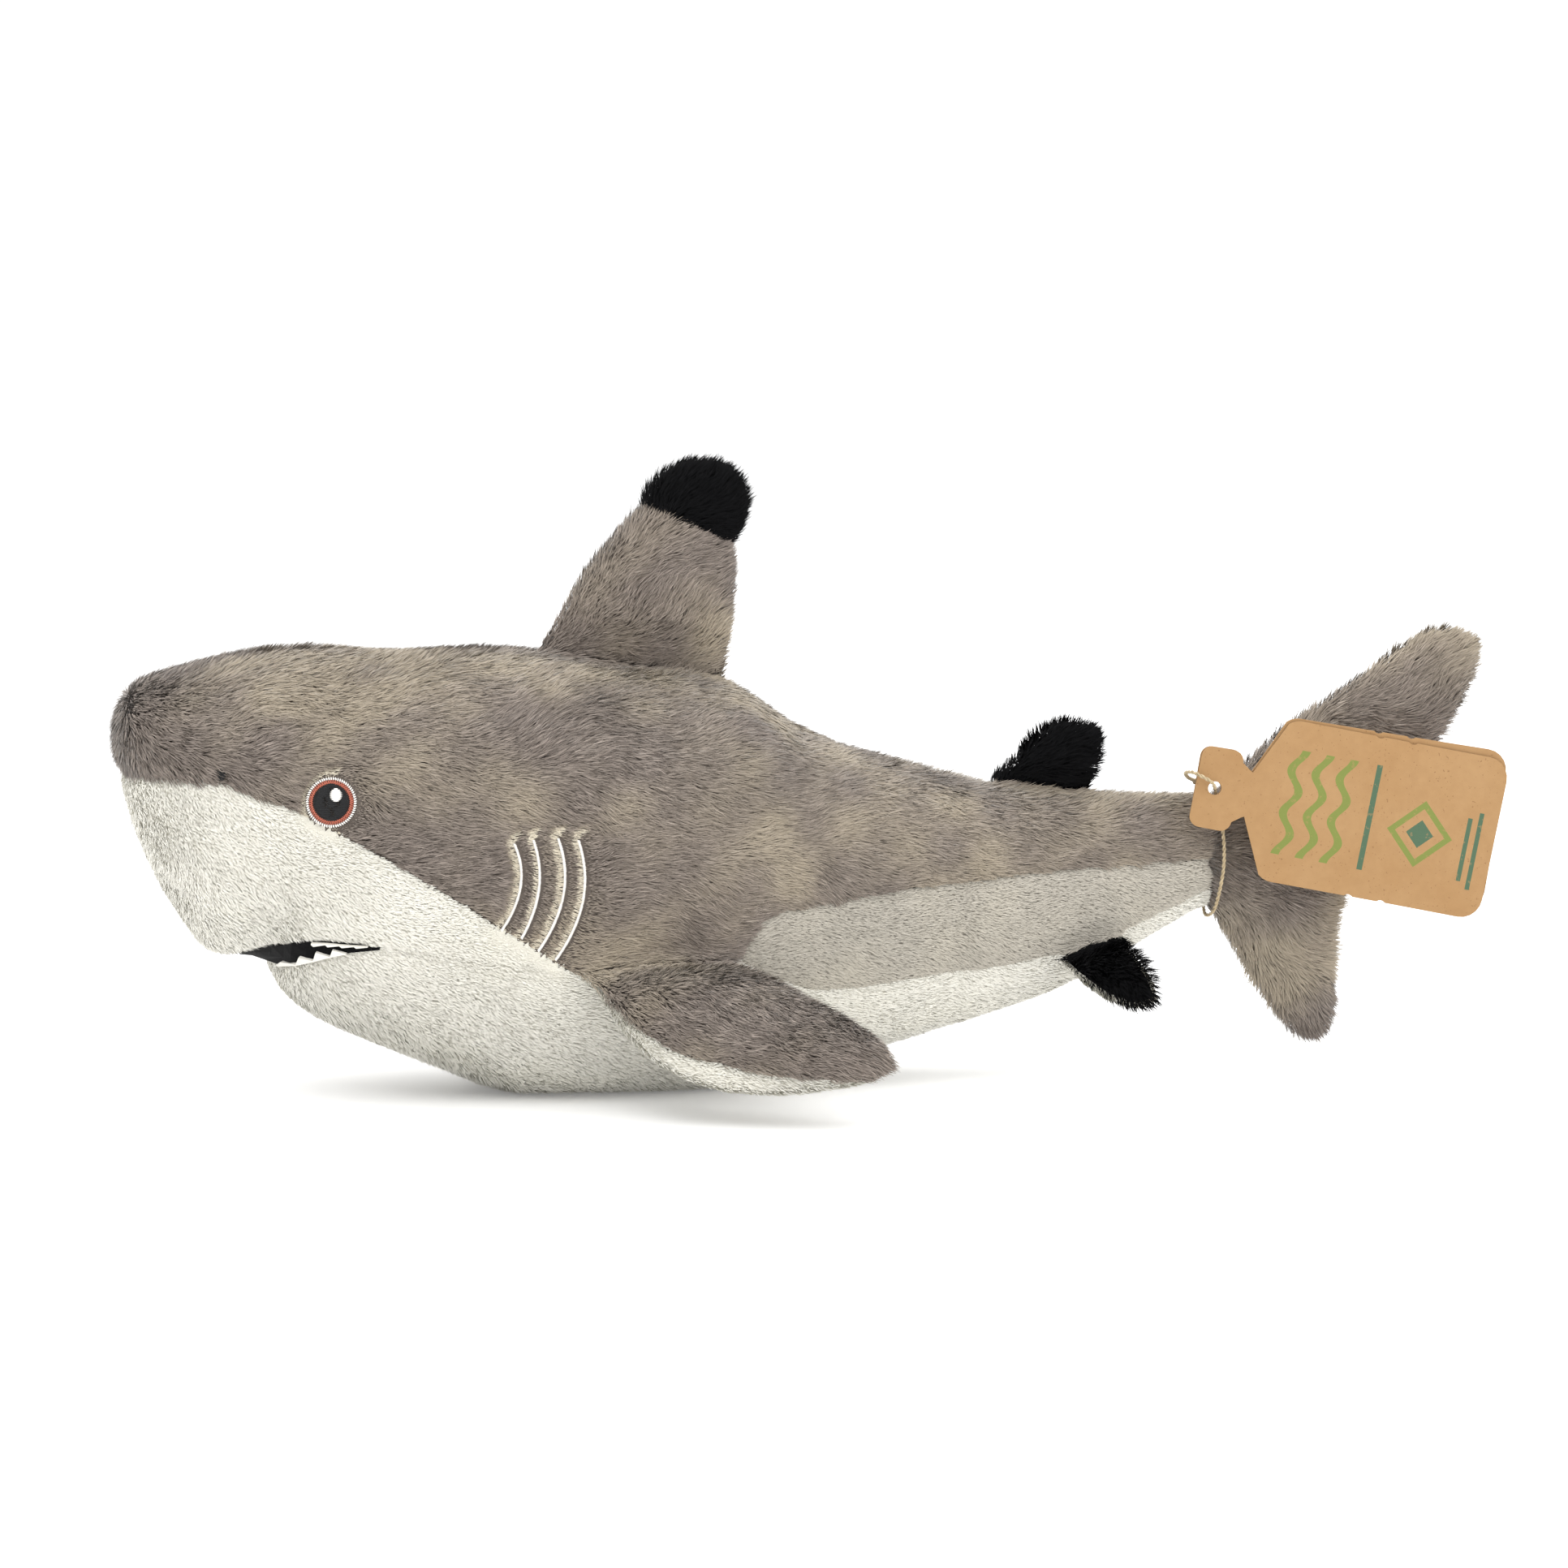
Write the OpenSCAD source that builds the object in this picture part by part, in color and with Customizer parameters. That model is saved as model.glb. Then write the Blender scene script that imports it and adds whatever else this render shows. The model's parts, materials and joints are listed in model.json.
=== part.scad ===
// Plush reef shark: sewn pile-fabric panels over polyester stuffing, embroidered
// eyes and gills, felt mouth and teeth, fins sewn into the seams, and a card hang
// tag on a loop of twine round the tail.
// +X runs to the tail, -Y is the shark's left side, +Z is up, and the belly rests
// on the table at z = 0.

/* [Body] */
// Length from the nose to the tip of the tail fin
total_length = 387; // [300:1:480]
// Height of the body at the head, without the dorsal fin
body_height = 124; // [95:1:155]
// Width of the body between the pectoral fins
body_width = 102; // [78:1:128]
// Squareness of the body's cross section, 2 being an ellipse
section_power = 2.2; // [2:0.1:3]

/* [Fabric and stuffing] */
// Thickness of a body panel: backing and dense pile
panel_t = 3; // [2:0.1:4]
// Thickness of a fin panel
fin_panel_t = 2; // [1.2:0.1:2.6]
// How far the stuffing presses into the back of the body panels
stuffing_press = 0.4; // [0.2:0.1:0.8]
// Thickness of the felt in the mouth and of the felt teeth
felt_t = 1; // [0.6:0.1:1.4]

/* [Seam hinges] */
// Least gap between a fin's sewn root and the body
hinge_gap = 0.5; // [0.4:0.1:2]
// Sideways bend of the tail to each side, in degrees
tail_bend = 12; // [5:1:16]

/* [Fins] */
// Height of the dorsal fin above the back
dorsal_height = 62; // [50:1:75]
// Half the thickness of the dorsal fin
dorsal_half_t = 9; // [7:0.5:11]
// Half the thickness of a pectoral fin
pectoral_half_t = 8.5; // [7:0.5:10]
// How far a pectoral fin's underside rolls outwards
pectoral_roll = 1; // [0:0.1:1]
// Half the thickness of the second dorsal fin
second_dorsal_half_t = 5; // [4:0.5:6]
// Half the thickness of a pelvic fin
pelvic_half_t = 4.5; // [4:0.5:5.5]
// Half the thickness of the tail fin
caudal_half_t = 7.5; // [6:0.5:9]

/* [Eyes and embroidery] */
// Radius of the white stitched outline of an eye
eye_outline_r = 6.9; // [5.5:0.1:9]
// Width of the white outline
eye_outline_w = 0.8; // [0.6:0.1:1.2]
// Radius of the black pupil
pupil_r = 5; // [3:0.1:5.2]
// Radius of the white glint
glint_r = 1.75; // [1:0.05:2.2]
// Radius of a nostril dot
nostril_r = 1.6; // [1:0.1:2.4]
// How far the embroidery stands above the pile's roots
stitch_h = 0.7; // [0.4:0.1:1.2]
// Width of a satin-stitched gill line
gill_w = 1.6; // [1:0.1:2.4]

/* [Hang tag] */
// Length of the bottle-shaped card
tag_length = 87; // [70:1:100]
// Width of the card
tag_width = 46; // [36:1:52]
// Thickness of the card
card_t = 0.5; // [0.3:0.1:0.8]
// Diameter of the punched hole
tag_hole_d = 3.8; // [3:0.1:5]
// Diameter of the jute twine
twine_d = 1.1; // [0.8:0.1:1.6]

/* [Hidden] */
// Scales from the drawn outline, which is 387 long, 124 high and 102 wide.
kx = total_length / 387;
kz = body_height / 124;
ky = body_width / 102;
// Places along the body, in drawn millimetres: x of the tail bend, of the body's end
// and of the hinge axes.
nose_x = -193.5;
face_front_x = -191.9;
bend_x = 40;
tail_end_x = 112;
root_front_x = -74;
root_rear_x = -28;
mouth_front_x = -162.5;
chin_x = -153.5;
mouth_corner_x = -125.5;
tooth_step = 0.6;
bend_slope = tan(tail_bend / 2 + 0.3);
bend_gap = 0.2;
n_back = 6;
n_side = 4;
n_belly = 8;
tag_turn = 11.2;
tag_lean = 4;

// Top of the body along its length.
top_line = [
  [-193.5, 100], [-193, 105], [-192, 109], [-191, 112], [-188, 115], [-180, 118], [-169, 120.5],
  [-158, 122.4], [-146, 123.6], [-135, 124], [-113, 123], [-78, 122.4], [-50, 117.8], [-24, 113],
  [-9, 103.4], [0, 98.4], [12, 93.6], [24, 90], [35, 86.8], [47, 83.6], [59, 81.8], [81, 80],
  [94, 79.3], [112, 79.5]
];
// Bottom of the body: snout, mouth, chin, belly and tail.
bottom_line = [
  [-193.5, 100], [-193, 96], [-192, 91.5], [-191, 86], [-188, 74], [-185, 66.5], [-181, 58],
  [-176, 50], [-172, 43.8], [-169, 40.8], [-165, 39.4], [-157, 38.8], [-152, 36.4], [-149.5, 31.5],
  [-145, 26.5], [-138, 21.5], [-129, 17], [-114, 10.5], [-100, 5], [-88, 0], [-80, -1.5],
  [-34, -1.5], [-22, 0], [0, 5], [24, 11], [47, 17], [59, 20.5], [73, 25.5], [93, 36.4],
  [106, 43.4], [112, 46.6]
];
// Half the width of the body.
width_line = [
  [-193.5, 0.5], [-193, 7], [-192, 11.5], [-191, 15], [-188, 19.5], [-185, 23.3], [-181, 26.8],
  [-172, 32.3], [-161, 36.8], [-146, 41], [-128, 44.5], [-113, 46.5], [-88, 49.5], [-68, 51],
  [-48, 50], [-28, 45.5], [-8, 39], [18, 31.5], [42, 26], [66, 20.5], [90, 15], [104, 12.2],
  [112, 10.8]
];
// Seam heights: grey back to white face, the mouth's two lips, the belly's edge and
// the two edges of the pale flank.
face_seam = [
  [-192, 92], [-182, 91.4], [-172, 91], [-166, 90.2], [-161, 88.4], [-152, 85], [-146, 82.4],
  [-140, 78.8], [-129, 72.7], [-118, 66.4], [-107, 59.4], [-96, 52.5], [-85, 45.6], [-74, 38]
];
upper_lip = [
  [-162.5, 39.7], [-160, 41], [-154.5, 43.6], [-149, 45.6], [-144, 46.6], [-139, 46.6],
  [-134, 46.2], [-128.5, 46], [-125.5, 45.4], [-100, 41.5], [-74, 38]
];
belly_edge = [
  [-153.5, 38], [-151, 38.5], [-147, 39.8], [-142.5, 41.3], [-138.5, 42.7], [-134, 43.8],
  [-128.5, 44.6], [-125.5, 44.9], [-100, 41.5], [-74, 38], [-50, 38.6], [-28, 40.4]
];
flank_top = [
  [-28, 40.4], [-24, 48], [-18, 52.2], [-6, 55], [18, 57], [42, 58.8], [66, 60.4], [90, 61.2], [112, 61.4]
];
flank_bottom = [
  [-28, 40.4], [-18, 34.5], [-8, 30.4], [7, 29.8], [19, 30.8], [42, 33], [66, 35.6], [88, 41.8],
  [104, 48], [112, 51.5]
];
body_rows = [
  -193.4, -193, -192, -191.6, -190.4, -188, -185, -181, -176, -172, -169, -165.5, -162.5, -160, -157, -153.5,
  -151, -149, -145, -140, -133, -125.5, -115, -104, -94, -84, -75.5, -74, -62, -50, -39, -28, -26.5, -22,
  -16, -6, 8, 24, 40
];
tail_rows = [40, 48, 57, 67, 77, 87, 97, 105, 112];

function clamp(v, lo, hi) = min(max(v, lo), hi);
function unit(v) = v / norm(v);
function mix(a, b, t) = a + (b - a) * t;
function within(rows, lo, hi) = [for (x = rows) if (x >= lo - 0.01 && x <= hi + 0.01) x];

// Smooth curve through points [x, value], where a value is a number or a vector.
function span(p, x, i = 0) = (i >= len(p) - 2 || x < p[i + 1][0]) ? i : span(p, x, i + 1);
function slope(p, i) =
  let (a = max(i - 1, 0), b = min(i + 1, len(p) - 1))
  (p[b][1] - p[a][1]) / (p[b][0] - p[a][0]);
function curve(p, x) =
  let (i = span(p, x), h = p[i + 1][0] - p[i][0], t = clamp((x - p[i][0]) / h, 0, 1))
  p[i][1] * (2 * t * t * t - 3 * t * t + 1) + slope(p, i) * h * (t * t * t - 2 * t * t + t)
  + p[i + 1][1] * (3 * t * t - 2 * t * t * t) + slope(p, i + 1) * h * (t * t * t - t * t);
function straight(p, x) =
  let (i = span(p, x), t = clamp((x - p[i][0]) / (p[i + 1][0] - p[i][0]), 0, 1))
  mix(p[i][1], p[i + 1][1], t);

// Body surface in drawn millimetres. x is along the body, and a goes round the
// section from 0 at the back's middle to 180 at the belly's; side is -1 for left.
function root_power(v) = pow(max(v, 0), 2 / section_power);
function side_height(x) = mix(curve(bottom_line, x), curve(top_line, x), 0.5);
function raw_point(x, a, side) =
  let (
    zt = curve(top_line, x),
    zb = curve(bottom_line, x),
    zw = (zt + zb) / 2,
    c = cos(a),
    reach = root_power(abs(c)),
    z = zw + (c > 0 ? (zt - zw) * reach : -(zw - zb) * reach)
  )
  [x, side * curve(width_line, x) * root_power(sin(a)), max(z, 0)];
function angle_at(x, z) =
  let (zt = curve(top_line, x), zb = curve(bottom_line, x), zw = (zt + zb) / 2)
  z >= zw
    ? acos(pow(clamp((z - zw) / (zt - zw), 0, 1), section_power / 2))
    : 180 - acos(pow(clamp((zw - z) / (zw - zb), 0, 1), section_power / 2));
function scaled(p) = [p[0] * kx, p[1] * ky, p[2] * kz];
function body_normal(x, a, side) =
  let (
    b = clamp(a, 1.5, 178.5),
    u = max(x, nose_x + 0.15),
    along = scaled(raw_point(u + 0.1, b, side) - raw_point(u - 0.1, b, side)),
    round_ = scaled(raw_point(u, b + 0.5, side) - raw_point(u, b - 0.5, side)),
    n = unit(cross(along, round_)) * side,
    flat = a < 1.5 || a > 178.5
  )
  flat ? unit([n[0], 0, n[2]]) : n;
// A point at a depth below the body's surface.
function body_point(x, a, side, depth) =
  let (p = scaled(raw_point(x, a, side)) - depth * body_normal(x, a, side))
  [p[0], a < 0.01 || a > 179.99 ? 0 : p[1], p[2]];
// The wedge that lets the tail bend: end -1 is the front half, 1 the rear half.
function bent_end(p, end) = [bend_x * kx + end * (bend_gap + abs(p[1]) * bend_slope), p[1], p[2]];
function cut_point(x, a, side, depth, end) =
  let (p = body_point(x, a, side, depth))
  x == bend_x ? bent_end(p, end) : p;

// Angles of the seams at x.
function back_edge(x) =
  x < face_front_x ? 180 : angle_at(x, x <= root_front_x ? curve(face_seam, x)
    : x <= root_rear_x ? curve(belly_edge, x) : curve(flank_top, x));
function face_edge(x) = x <= mouth_front_x ? 180 : angle_at(x, curve(upper_lip, x));
function belly_top(x) =
  angle_at(x, x <= root_rear_x ? curve(belly_edge, x) : curve(flank_bottom, x));

// Closed solid between an outer and an inner grid of points of the same size.
module shell_between(outer, inner) {
  rows = len(outer);
  cols = len(outer[0]);
  count = rows * cols;
  function at(i, j) = i * cols + j;
  pts = concat([for (r = outer) for (p = r) p], [for (r = inner) for (p = r) p]);
  skin = [for (i = [0:rows - 2]) for (j = [0:cols - 2])
    let (q = [at(i, j), at(i, j + 1), at(i + 1, j + 1), at(i + 1, j)],
      corner = (i == 0 && j == cols - 2) || (i == rows - 2 && j == 0))
    each corner ? [[q[0], q[1], q[3]], [q[1], q[2], q[3]]]
      : [[q[0], q[1], q[2]], [q[0], q[2], q[3]]]];
  rim = concat(
    [for (j = [0:cols - 2]) [at(0, j), at(0, j + 1)]],
    [for (i = [0:rows - 2]) [at(i, cols - 1), at(i + 1, cols - 1)]],
    [for (j = [cols - 1:-1:1]) [at(rows - 1, j), at(rows - 1, j - 1)]],
    [for (i = [rows - 1:-1:1]) [at(i, 0), at(i - 1, 0)]]
  );
  faces = concat(
    skin,
    [for (f = skin) [f[2] + count, f[1] + count, f[0] + count]],
    [for (e = rim) [e[1], e[0], e[0] + count]],
    [for (e = rim) [e[1], e[0] + count, e[1] + count]]
  );
  polyhedron(pts, faces);
}

// Closed solid through rings of points, with each end closed by flat strips between
// the points that mirror each other.
module ring_solid(rings) {
  n = len(rings[0]);
  last = len(rings) - 1;
  half = n / 2;
  function at(i, j) = i * n + (j % n);
  sides = [for (i = [0:last - 1]) for (j = [0:n - 1])
    each [[at(i, j), at(i, j + 1), at(i + 1, j + 1)], [at(i, j), at(i + 1, j + 1), at(i + 1, j)]]];
  function cap(i, flip) = concat(
    [[for (k = flip ? [1, 0, n - 1] : [n - 1, 0, 1]) at(i, k)]],
    [[for (k = flip ? [half - 1, half + 1, half] : [half, half + 1, half - 1]) at(i, k)]],
    [for (j = [1:half - 2]) each
      flip ? [[at(i, j), at(i, n - j - 1), at(i, j + 1)], [at(i, j), at(i, n - j), at(i, n - j - 1)]]
           : [[at(i, j + 1), at(i, n - j - 1), at(i, j)], [at(i, n - j - 1), at(i, n - j), at(i, j)]]]
  );
  polyhedron([for (r = rings) for (p = r) p], concat(sides, cap(0, true), cap(last, false)));
}

// Body panel on one side, between two seam angles at each row.
function panel_grid(xs, angles, cols, side, depth, end) =
  [for (i = [0:len(xs) - 1]) [for (j = [0:cols])
    cut_point(xs[i], mix(angles[i][0], angles[i][1], j / cols), side, depth, end)]];
module body_panel(xs, angles, cols, side, end, depths = [0, panel_t]) {
  o = side < 0 ? depths[1] : depths[0];
  i = side < 0 ? depths[0] : depths[1];
  shell_between(panel_grid(xs, angles, cols, side, o, end), panel_grid(xs, angles, cols, side, i, end));
}
// Belly panel across both sides, from the left seam to the right one.
function belly_grid(xs, tops, cols, depth, end) =
  [for (i = [0:len(xs) - 1]) [for (j = [-cols:cols])
    cut_point(xs[i], mix(180, tops[i], abs(j) / cols), j < 0 ? -1 : 1, depth, end)]];
module belly_shape(xs, tops, cols, end, depths = [0, panel_t]) {
  shell_between(belly_grid(xs, tops, cols, depths[1], end), belly_grid(xs, tops, cols, depths[0], end));
}
function core_ring(x, depth, end, n = 24) =
  [for (j = [0:n - 1]) let (a = j * 360 / n)
    a <= 180 ? cut_point(x, a, 1, depth, end) : cut_point(x, 360 - a, -1, depth, end)];

// Fins: rows run from the sewn root to the tip. A row is [leading point, trailing
// point, half thickness, its share of the fin's normal rounding].
// A pectoral fin's underside rolls outwards and down from its front edge, which leaves
// a band of it in sight below the seam. The roll fades out at the root and the tip.
roll_share = [[0, 0], [0.12, 0.1], [0.3, 0.9], [0.55, 1], [0.75, 0.6], [0.92, 0], [1, 0]];
function roll_way(amount, side) = amount * [-0.2, 0.8 * side, -0.8];
function fin_frame(rows) =
  let (m = floor(len(rows) / 2), chord = rows[m][1] - rows[m][0],
    run = mix(rows[m][0], rows[m][1], 0.5) - mix(rows[0][0], rows[0][1], 0.5))
  unit(cross(chord, run));
function fin_u(rows, u, inset) =
  let (
    last = len(rows) - 1,
    length = norm(mix(rows[last][0], rows[last][1], 0.5) - mix(rows[0][0], rows[0][1], 0.5)),
    e = inset / length
  )
  last * (e + (1 - 2 * e) * u);
function fin_point(rows, heights, half_t, normal, u, b, side, inset, roll = [0, 0, 0]) =
  let (
    v = fin_u(rows, u, inset),
    a = curve([for (i = [0:len(rows) - 1]) [i, rows[i][0]]], v),
    c = curve([for (i = [0:len(rows) - 1]) [i, rows[i][1]]], v),
    chord = norm(c - a),
    e = min(inset, chord * 0.3) / chord,
    w = e + (1 - 2 * e) * (1 - cos(b)) / 2,
    h = straight(heights, u) * (half_t - inset) * pow(sin(b), 0.8)
  )
  mix(a, c, w) + (normal * side + roll * straight(roll_share, u)) * h;
fin_angles = [0, 14, 30, 50, 72, 96, 120, 142, 160, 180];
function fin_grid(rows, heights, half_t, normal, us, side, inset, roll = [0, 0, 0]) =
  [for (u = us) [for (b = fin_angles) fin_point(rows, heights, half_t, normal, u, b, side, inset, roll)]];
module fin_panel(rows, heights, half_t, normal, us, side, t, roll = [0, 0, 0]) {
  a = fin_grid(rows, heights, half_t, normal, us, side, 0, roll);
  b = fin_grid(rows, heights, half_t, normal, us, side, t, roll);
  if (side > 0) shell_between(a, b);
  else shell_between(b, a);
}
module fin_core(rows, heights, half_t, normal, all_us, t, rolls = [[0, 0, 0], [0, 0, 0]]) {
  us = [for (u = all_us) if (u != 0.015 && (u < 0.9 || u == 1)) u];
  shell_between(fin_grid(rows, heights, half_t, normal, us, 1, t + 0.05, rolls[0]),
    fin_grid(rows, heights, half_t, normal, us, -1, t + 0.05, rolls[1]));
}
function lifted(p, dz) = [p[0] * kx, p[1], p[2] * kz + dz];
function mirrored(rows) = [for (r = rows) [[r[0][0], -r[0][1], r[0][2]], [r[1][0], -r[1][1], r[1][2]]]];
// Half thickness along a fin, as a share: a round sewn root, a swell and a soft tip.
fin_swell = [
  [0, 0], [0.015, 0.27], [0.04, 0.42], [0.07, 0.52], [0.13, 0.82], [0.22, 1], [0.45, 1],
  [0.7, 0.84], [0.85, 0.62], [0.94, 0.4], [1, 0]
];
fin_us = [0, 0.015, 0.04, 0.07, 0.13, 0.22, 0.34, 0.46, 0.57, 0.7, 0.8, 0.88, 0.94, 0.98, 1];
small_fin_us = [0, 0.03, 0.08, 0.16, 0.28, 0.45, 0.62, 0.78, 0.9, 1];

// Dorsal fin: its rows lean back, and the black tip starts at row 4.
function dorsal_z(z) = 118 + (z - 118) * dorsal_height / 62;
function dorsal_row(x0, z0, x1, z1) = [[x0 * kx, 0, kz * dorsal_z(z0) + hinge_gap],
  [x1 * kx, 0, kz * dorsal_z(z1) + hinge_gap]];
dorsal_rows = [
  dorsal_row(-77.5, 122.7, -24.5, 113.6), dorsal_row(-70, 134.5, -22.3, 124),
  dorsal_row(-63.3, 144.5, -21.4, 133), dorsal_row(-56.3, 152.8, -21.2, 141.5),
  dorsal_row(-48.5, 161, -21.3, 150), dorsal_row(-45, 168, -18, 158.5),
  dorsal_row(-38.8, 172.6, -18.5, 166.5), dorsal_row(-33, 174.6, -24.5, 173)
];
dorsal_seam = 4 / 7;
dorsal_us = [0, 0.015, 0.04, 0.07, 0.13, 0.22, 0.34, 0.46, dorsal_seam];
dorsal_tip_us = [dorsal_seam, 0.68, 0.78, 0.87, 0.94, 0.98, 1];
dorsal_n = [0, 1, 0];

// Second dorsal fin.
function second_row(x0, z0, x1, z1) = [[x0 * kx, 0, z0 * kz + hinge_gap], [x1 * kx, 0, z1 * kz + hinge_gap]];
second_rows = [
  second_row(50, 83.6, 78.5, 80.4), second_row(56.3, 88.2, 81.6, 85), second_row(61.8, 93.6, 83.6, 90),
  second_row(66.8, 98.2, 83.8, 94.8), second_row(71.5, 100.3, 80.5, 98.6)
];

// Pectoral fin of the left side: swept back and drooping.
function pectoral_row(x0, y0, z0, x1, y1, z1) =
  [[x0 * kx, y0 * ky - hinge_gap, z0 * kz], [x1 * kx, y1 * ky - hinge_gap, z1 * kz]];
pectoral_rows = [
  pectoral_row(-73, -50.4, 38.5, -30, -46.2, 40), pectoral_row(-66, -59, 31, -20, -54, 35.3),
  pectoral_row(-59, -67, 25, -12, -61, 31), pectoral_row(-50, -75, 20, -4, -69.5, 27.3),
  pectoral_row(-36, -82.5, 16.5, 2, -78, 24.2), pectoral_row(-17, -89, 14, 6, -86, 21.5),
  pectoral_row(-1, -93, 12.5, 7.5, -92, 17.5)
];

// Pelvic fin of the left side.
function pelvic_row(x0, y0, z0, x1, y1, z1) =
  [[x0 * kx, y0 * ky - hinge_gap, z0 * kz], [x1 * kx, y1 * ky - hinge_gap, z1 * kz]];
pelvic_rows = [
  pelvic_row(67.5, -16.8, 34, 87.5, -12.4, 40.4), pelvic_row(71.5, -23, 30, 90, -20, 36.6),
  pelvic_row(76, -28, 26.4, 92, -26.5, 32.6), pelvic_row(81.5, -32, 23.8, 93.3, -31.5, 28.8),
  pelvic_row(87, -35, 22.3, 93, -35.3, 25)
];

// Tail fin, from the upper tip down to the lower tip. The middle rows' front ends
// are the sewn root.
function caudal_row(x0, z0, x1, z1) = [[x0 * kx, 0, z0 * kz], [x1 * kx, 0, z1 * kz]];
caudal_root_x = tail_end_x * kx + hinge_gap + 0.4;
caudal_rows = [
  caudal_row(186, 125.6, 193.5, 121.5), caudal_row(176, 124, 192.8, 112), caudal_row(165, 116.8, 187, 101),
  caudal_row(153, 108.4, 179.5, 89.5), caudal_row(141, 100.6, 171.5, 79.5),
  caudal_row(128.5, 90.8, 164, 70.5), caudal_row(116.5, 80, 158.5, 64), caudal_row(112.9, 71.5, 156.8, 61),
  caudal_row(112.9, 55, 155.3, 56), caudal_row(115, 46.5, 153.4, 49), caudal_row(119.5, 39, 151.9, 40),
  caudal_row(125.5, 29.3, 151.8, 30), caudal_row(132, 19.5, 152, 20), caudal_row(138.5, 11, 150.5, 12.5),
  caudal_row(143, 7.6, 148.5, 9)
];
caudal_swell = [
  [0, 0], [0.02, 0.3], [0.07, 0.52], [0.15, 0.68], [0.3, 0.8], [0.42, 1], [0.62, 1], [0.75, 0.78],
  [0.88, 0.6], [0.95, 0.42], [0.985, 0.25], [1, 0]
];
caudal_us = [
  0, 0.02, 0.07, 0.14, 0.215, 0.29, 0.36, 0.43, 0.47, 0.5, 0.535, 0.57, 0.61, 0.645, 0.715, 0.79,
  0.86, 0.93, 0.975, 1
];

// Twine loop: through the card's hole, over the tail's end, round it and back.
tag_hole = [112 * kx, -18.5 * ky, 82.4 * kz];
twine_points = [
  [112.8, 3, 82], [110.5, -2, 82.8], [107, -8, 84.4], [104.8, -14, 86.3], [105.6, -19.3, 87],
  [109.8, -21.8, 84.8], [111.8, -19.4, 82.7], [112.6, -16.8, 81.6], [114.4, -14.8, 76],
  [116, -13.4, 68], [116.6, -11.8, 60], [116, -9.8, 52.5], [115.3, -6, 46.4], [114.6, 0, 44.2],
  [115.3, 6, 46.4], [116.2, 9.8, 53], [116.8, 10.6, 62], [116.2, 9.8, 71], [114.6, 7, 78.4],
  [113.2, 4.2, 81.4]
];

// Tube of n sides swept along points, its rings square to the path.
function path_dir(p, i) = unit(p[min(i + 1, len(p) - 1)] - p[max(i - 1, 0)]);
function path_frames(p, i = 0, last = undef) =
  let (d = path_dir(p, i), guess = is_undef(last) ? (abs(d[1]) < 0.9 ? [0, 1, 0] : [0, 0, 1]) : last,
    s = unit(guess - d * (guess * d)))
  i == len(p) - 1 ? [[d, s]] : concat([[d, s]], path_frames(p, i + 1, s));
module tube(p, r, n, flat = 1) {
  f = path_frames(p);
  pts = [for (i = [0:len(p) - 1]) for (k = [0:n - 1])
    p[i] + r * cos(k * 360 / n) * f[i][1] + flat * r * sin(k * 360 / n) * cross(f[i][0], f[i][1])];
  last = (len(p) - 1) * n;
  polyhedron(pts, concat(
    [for (i = [0:len(p) - 2]) for (k = [0:n - 1]) each
      [[i * n + (k + 1) % n, i * n + k, (i + 1) * n + k],
       [i * n + (k + 1) % n, (i + 1) * n + k, (i + 1) * n + (k + 1) % n]]],
    [[for (k = [0:n - 1]) k]],
    [[for (k = [n - 1:-1:0]) last + k]]
  ));
}
function smooth_path(p, steps) =
  let (q = [for (i = [0:len(p) - 1]) [i, p[i]]])
  [for (k = [0:(len(p) - 1) * steps]) curve(q, k / steps)];

grey = [0.55, 0.5, 0.46];
ivory = [0.92, 0.91, 0.88];
pale = [0.75, 0.73, 0.7];
black = [0.04, 0.04, 0.05];
white = [0.93, 0.92, 0.88];
fluff = [0.96, 0.96, 0.95];
kraft = [0.77, 0.61, 0.42];

module back_panel(side) {
  xs = within(body_rows, nose_x, bend_x);
  color(grey) body_panel(xs, [for (x = xs) [0, back_edge(x)]], n_back, side, -1);
}
module face_panel(side) {
  xs = within(body_rows, face_front_x, root_front_x - 1);
  color(ivory) body_panel(xs, [for (x = xs) [back_edge(x), face_edge(x)]], n_side, side, -1);
}
module belly_panel() {
  xs = within(body_rows, chin_x, bend_x);
  color(ivory) belly_shape(xs, [for (x = xs) belly_top(x)], n_belly, -1);
}
module flank_panel(side) {
  xs = within(body_rows, root_rear_x + 1, bend_x);
  color(pale) body_panel(xs, [for (x = xs) [back_edge(x), belly_top(x)]], 3, side, -1);
}
module body_stuffing() {
  depth = panel_t - stuffing_press;
  xs = [for (x = within(body_rows, nose_x, bend_x)) if (x < -193.2 || x > -191.5) x];
  color(fluff) ring_solid([for (x = xs) core_ring(x, depth, -1)]);
}

module mouth_lining() {
  d = [felt_t + 0.4, panel_t - stuffing_press];
  front = within(body_rows, mouth_front_x, chin_x + 3);
  rear = within(body_rows, chin_x, mouth_corner_x);
  color(black) union() {
    belly_shape(within(body_rows, mouth_front_x + 1, chin_x),
      [for (x = within(body_rows, mouth_front_x + 1, chin_x)) face_edge(x)], 5, -1, d);
    for (side = [-1, 1])
      body_panel(rear, [for (x = rear) [face_edge(x), belly_top(x)]], 2, side, -1, d);
  }
}
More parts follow.
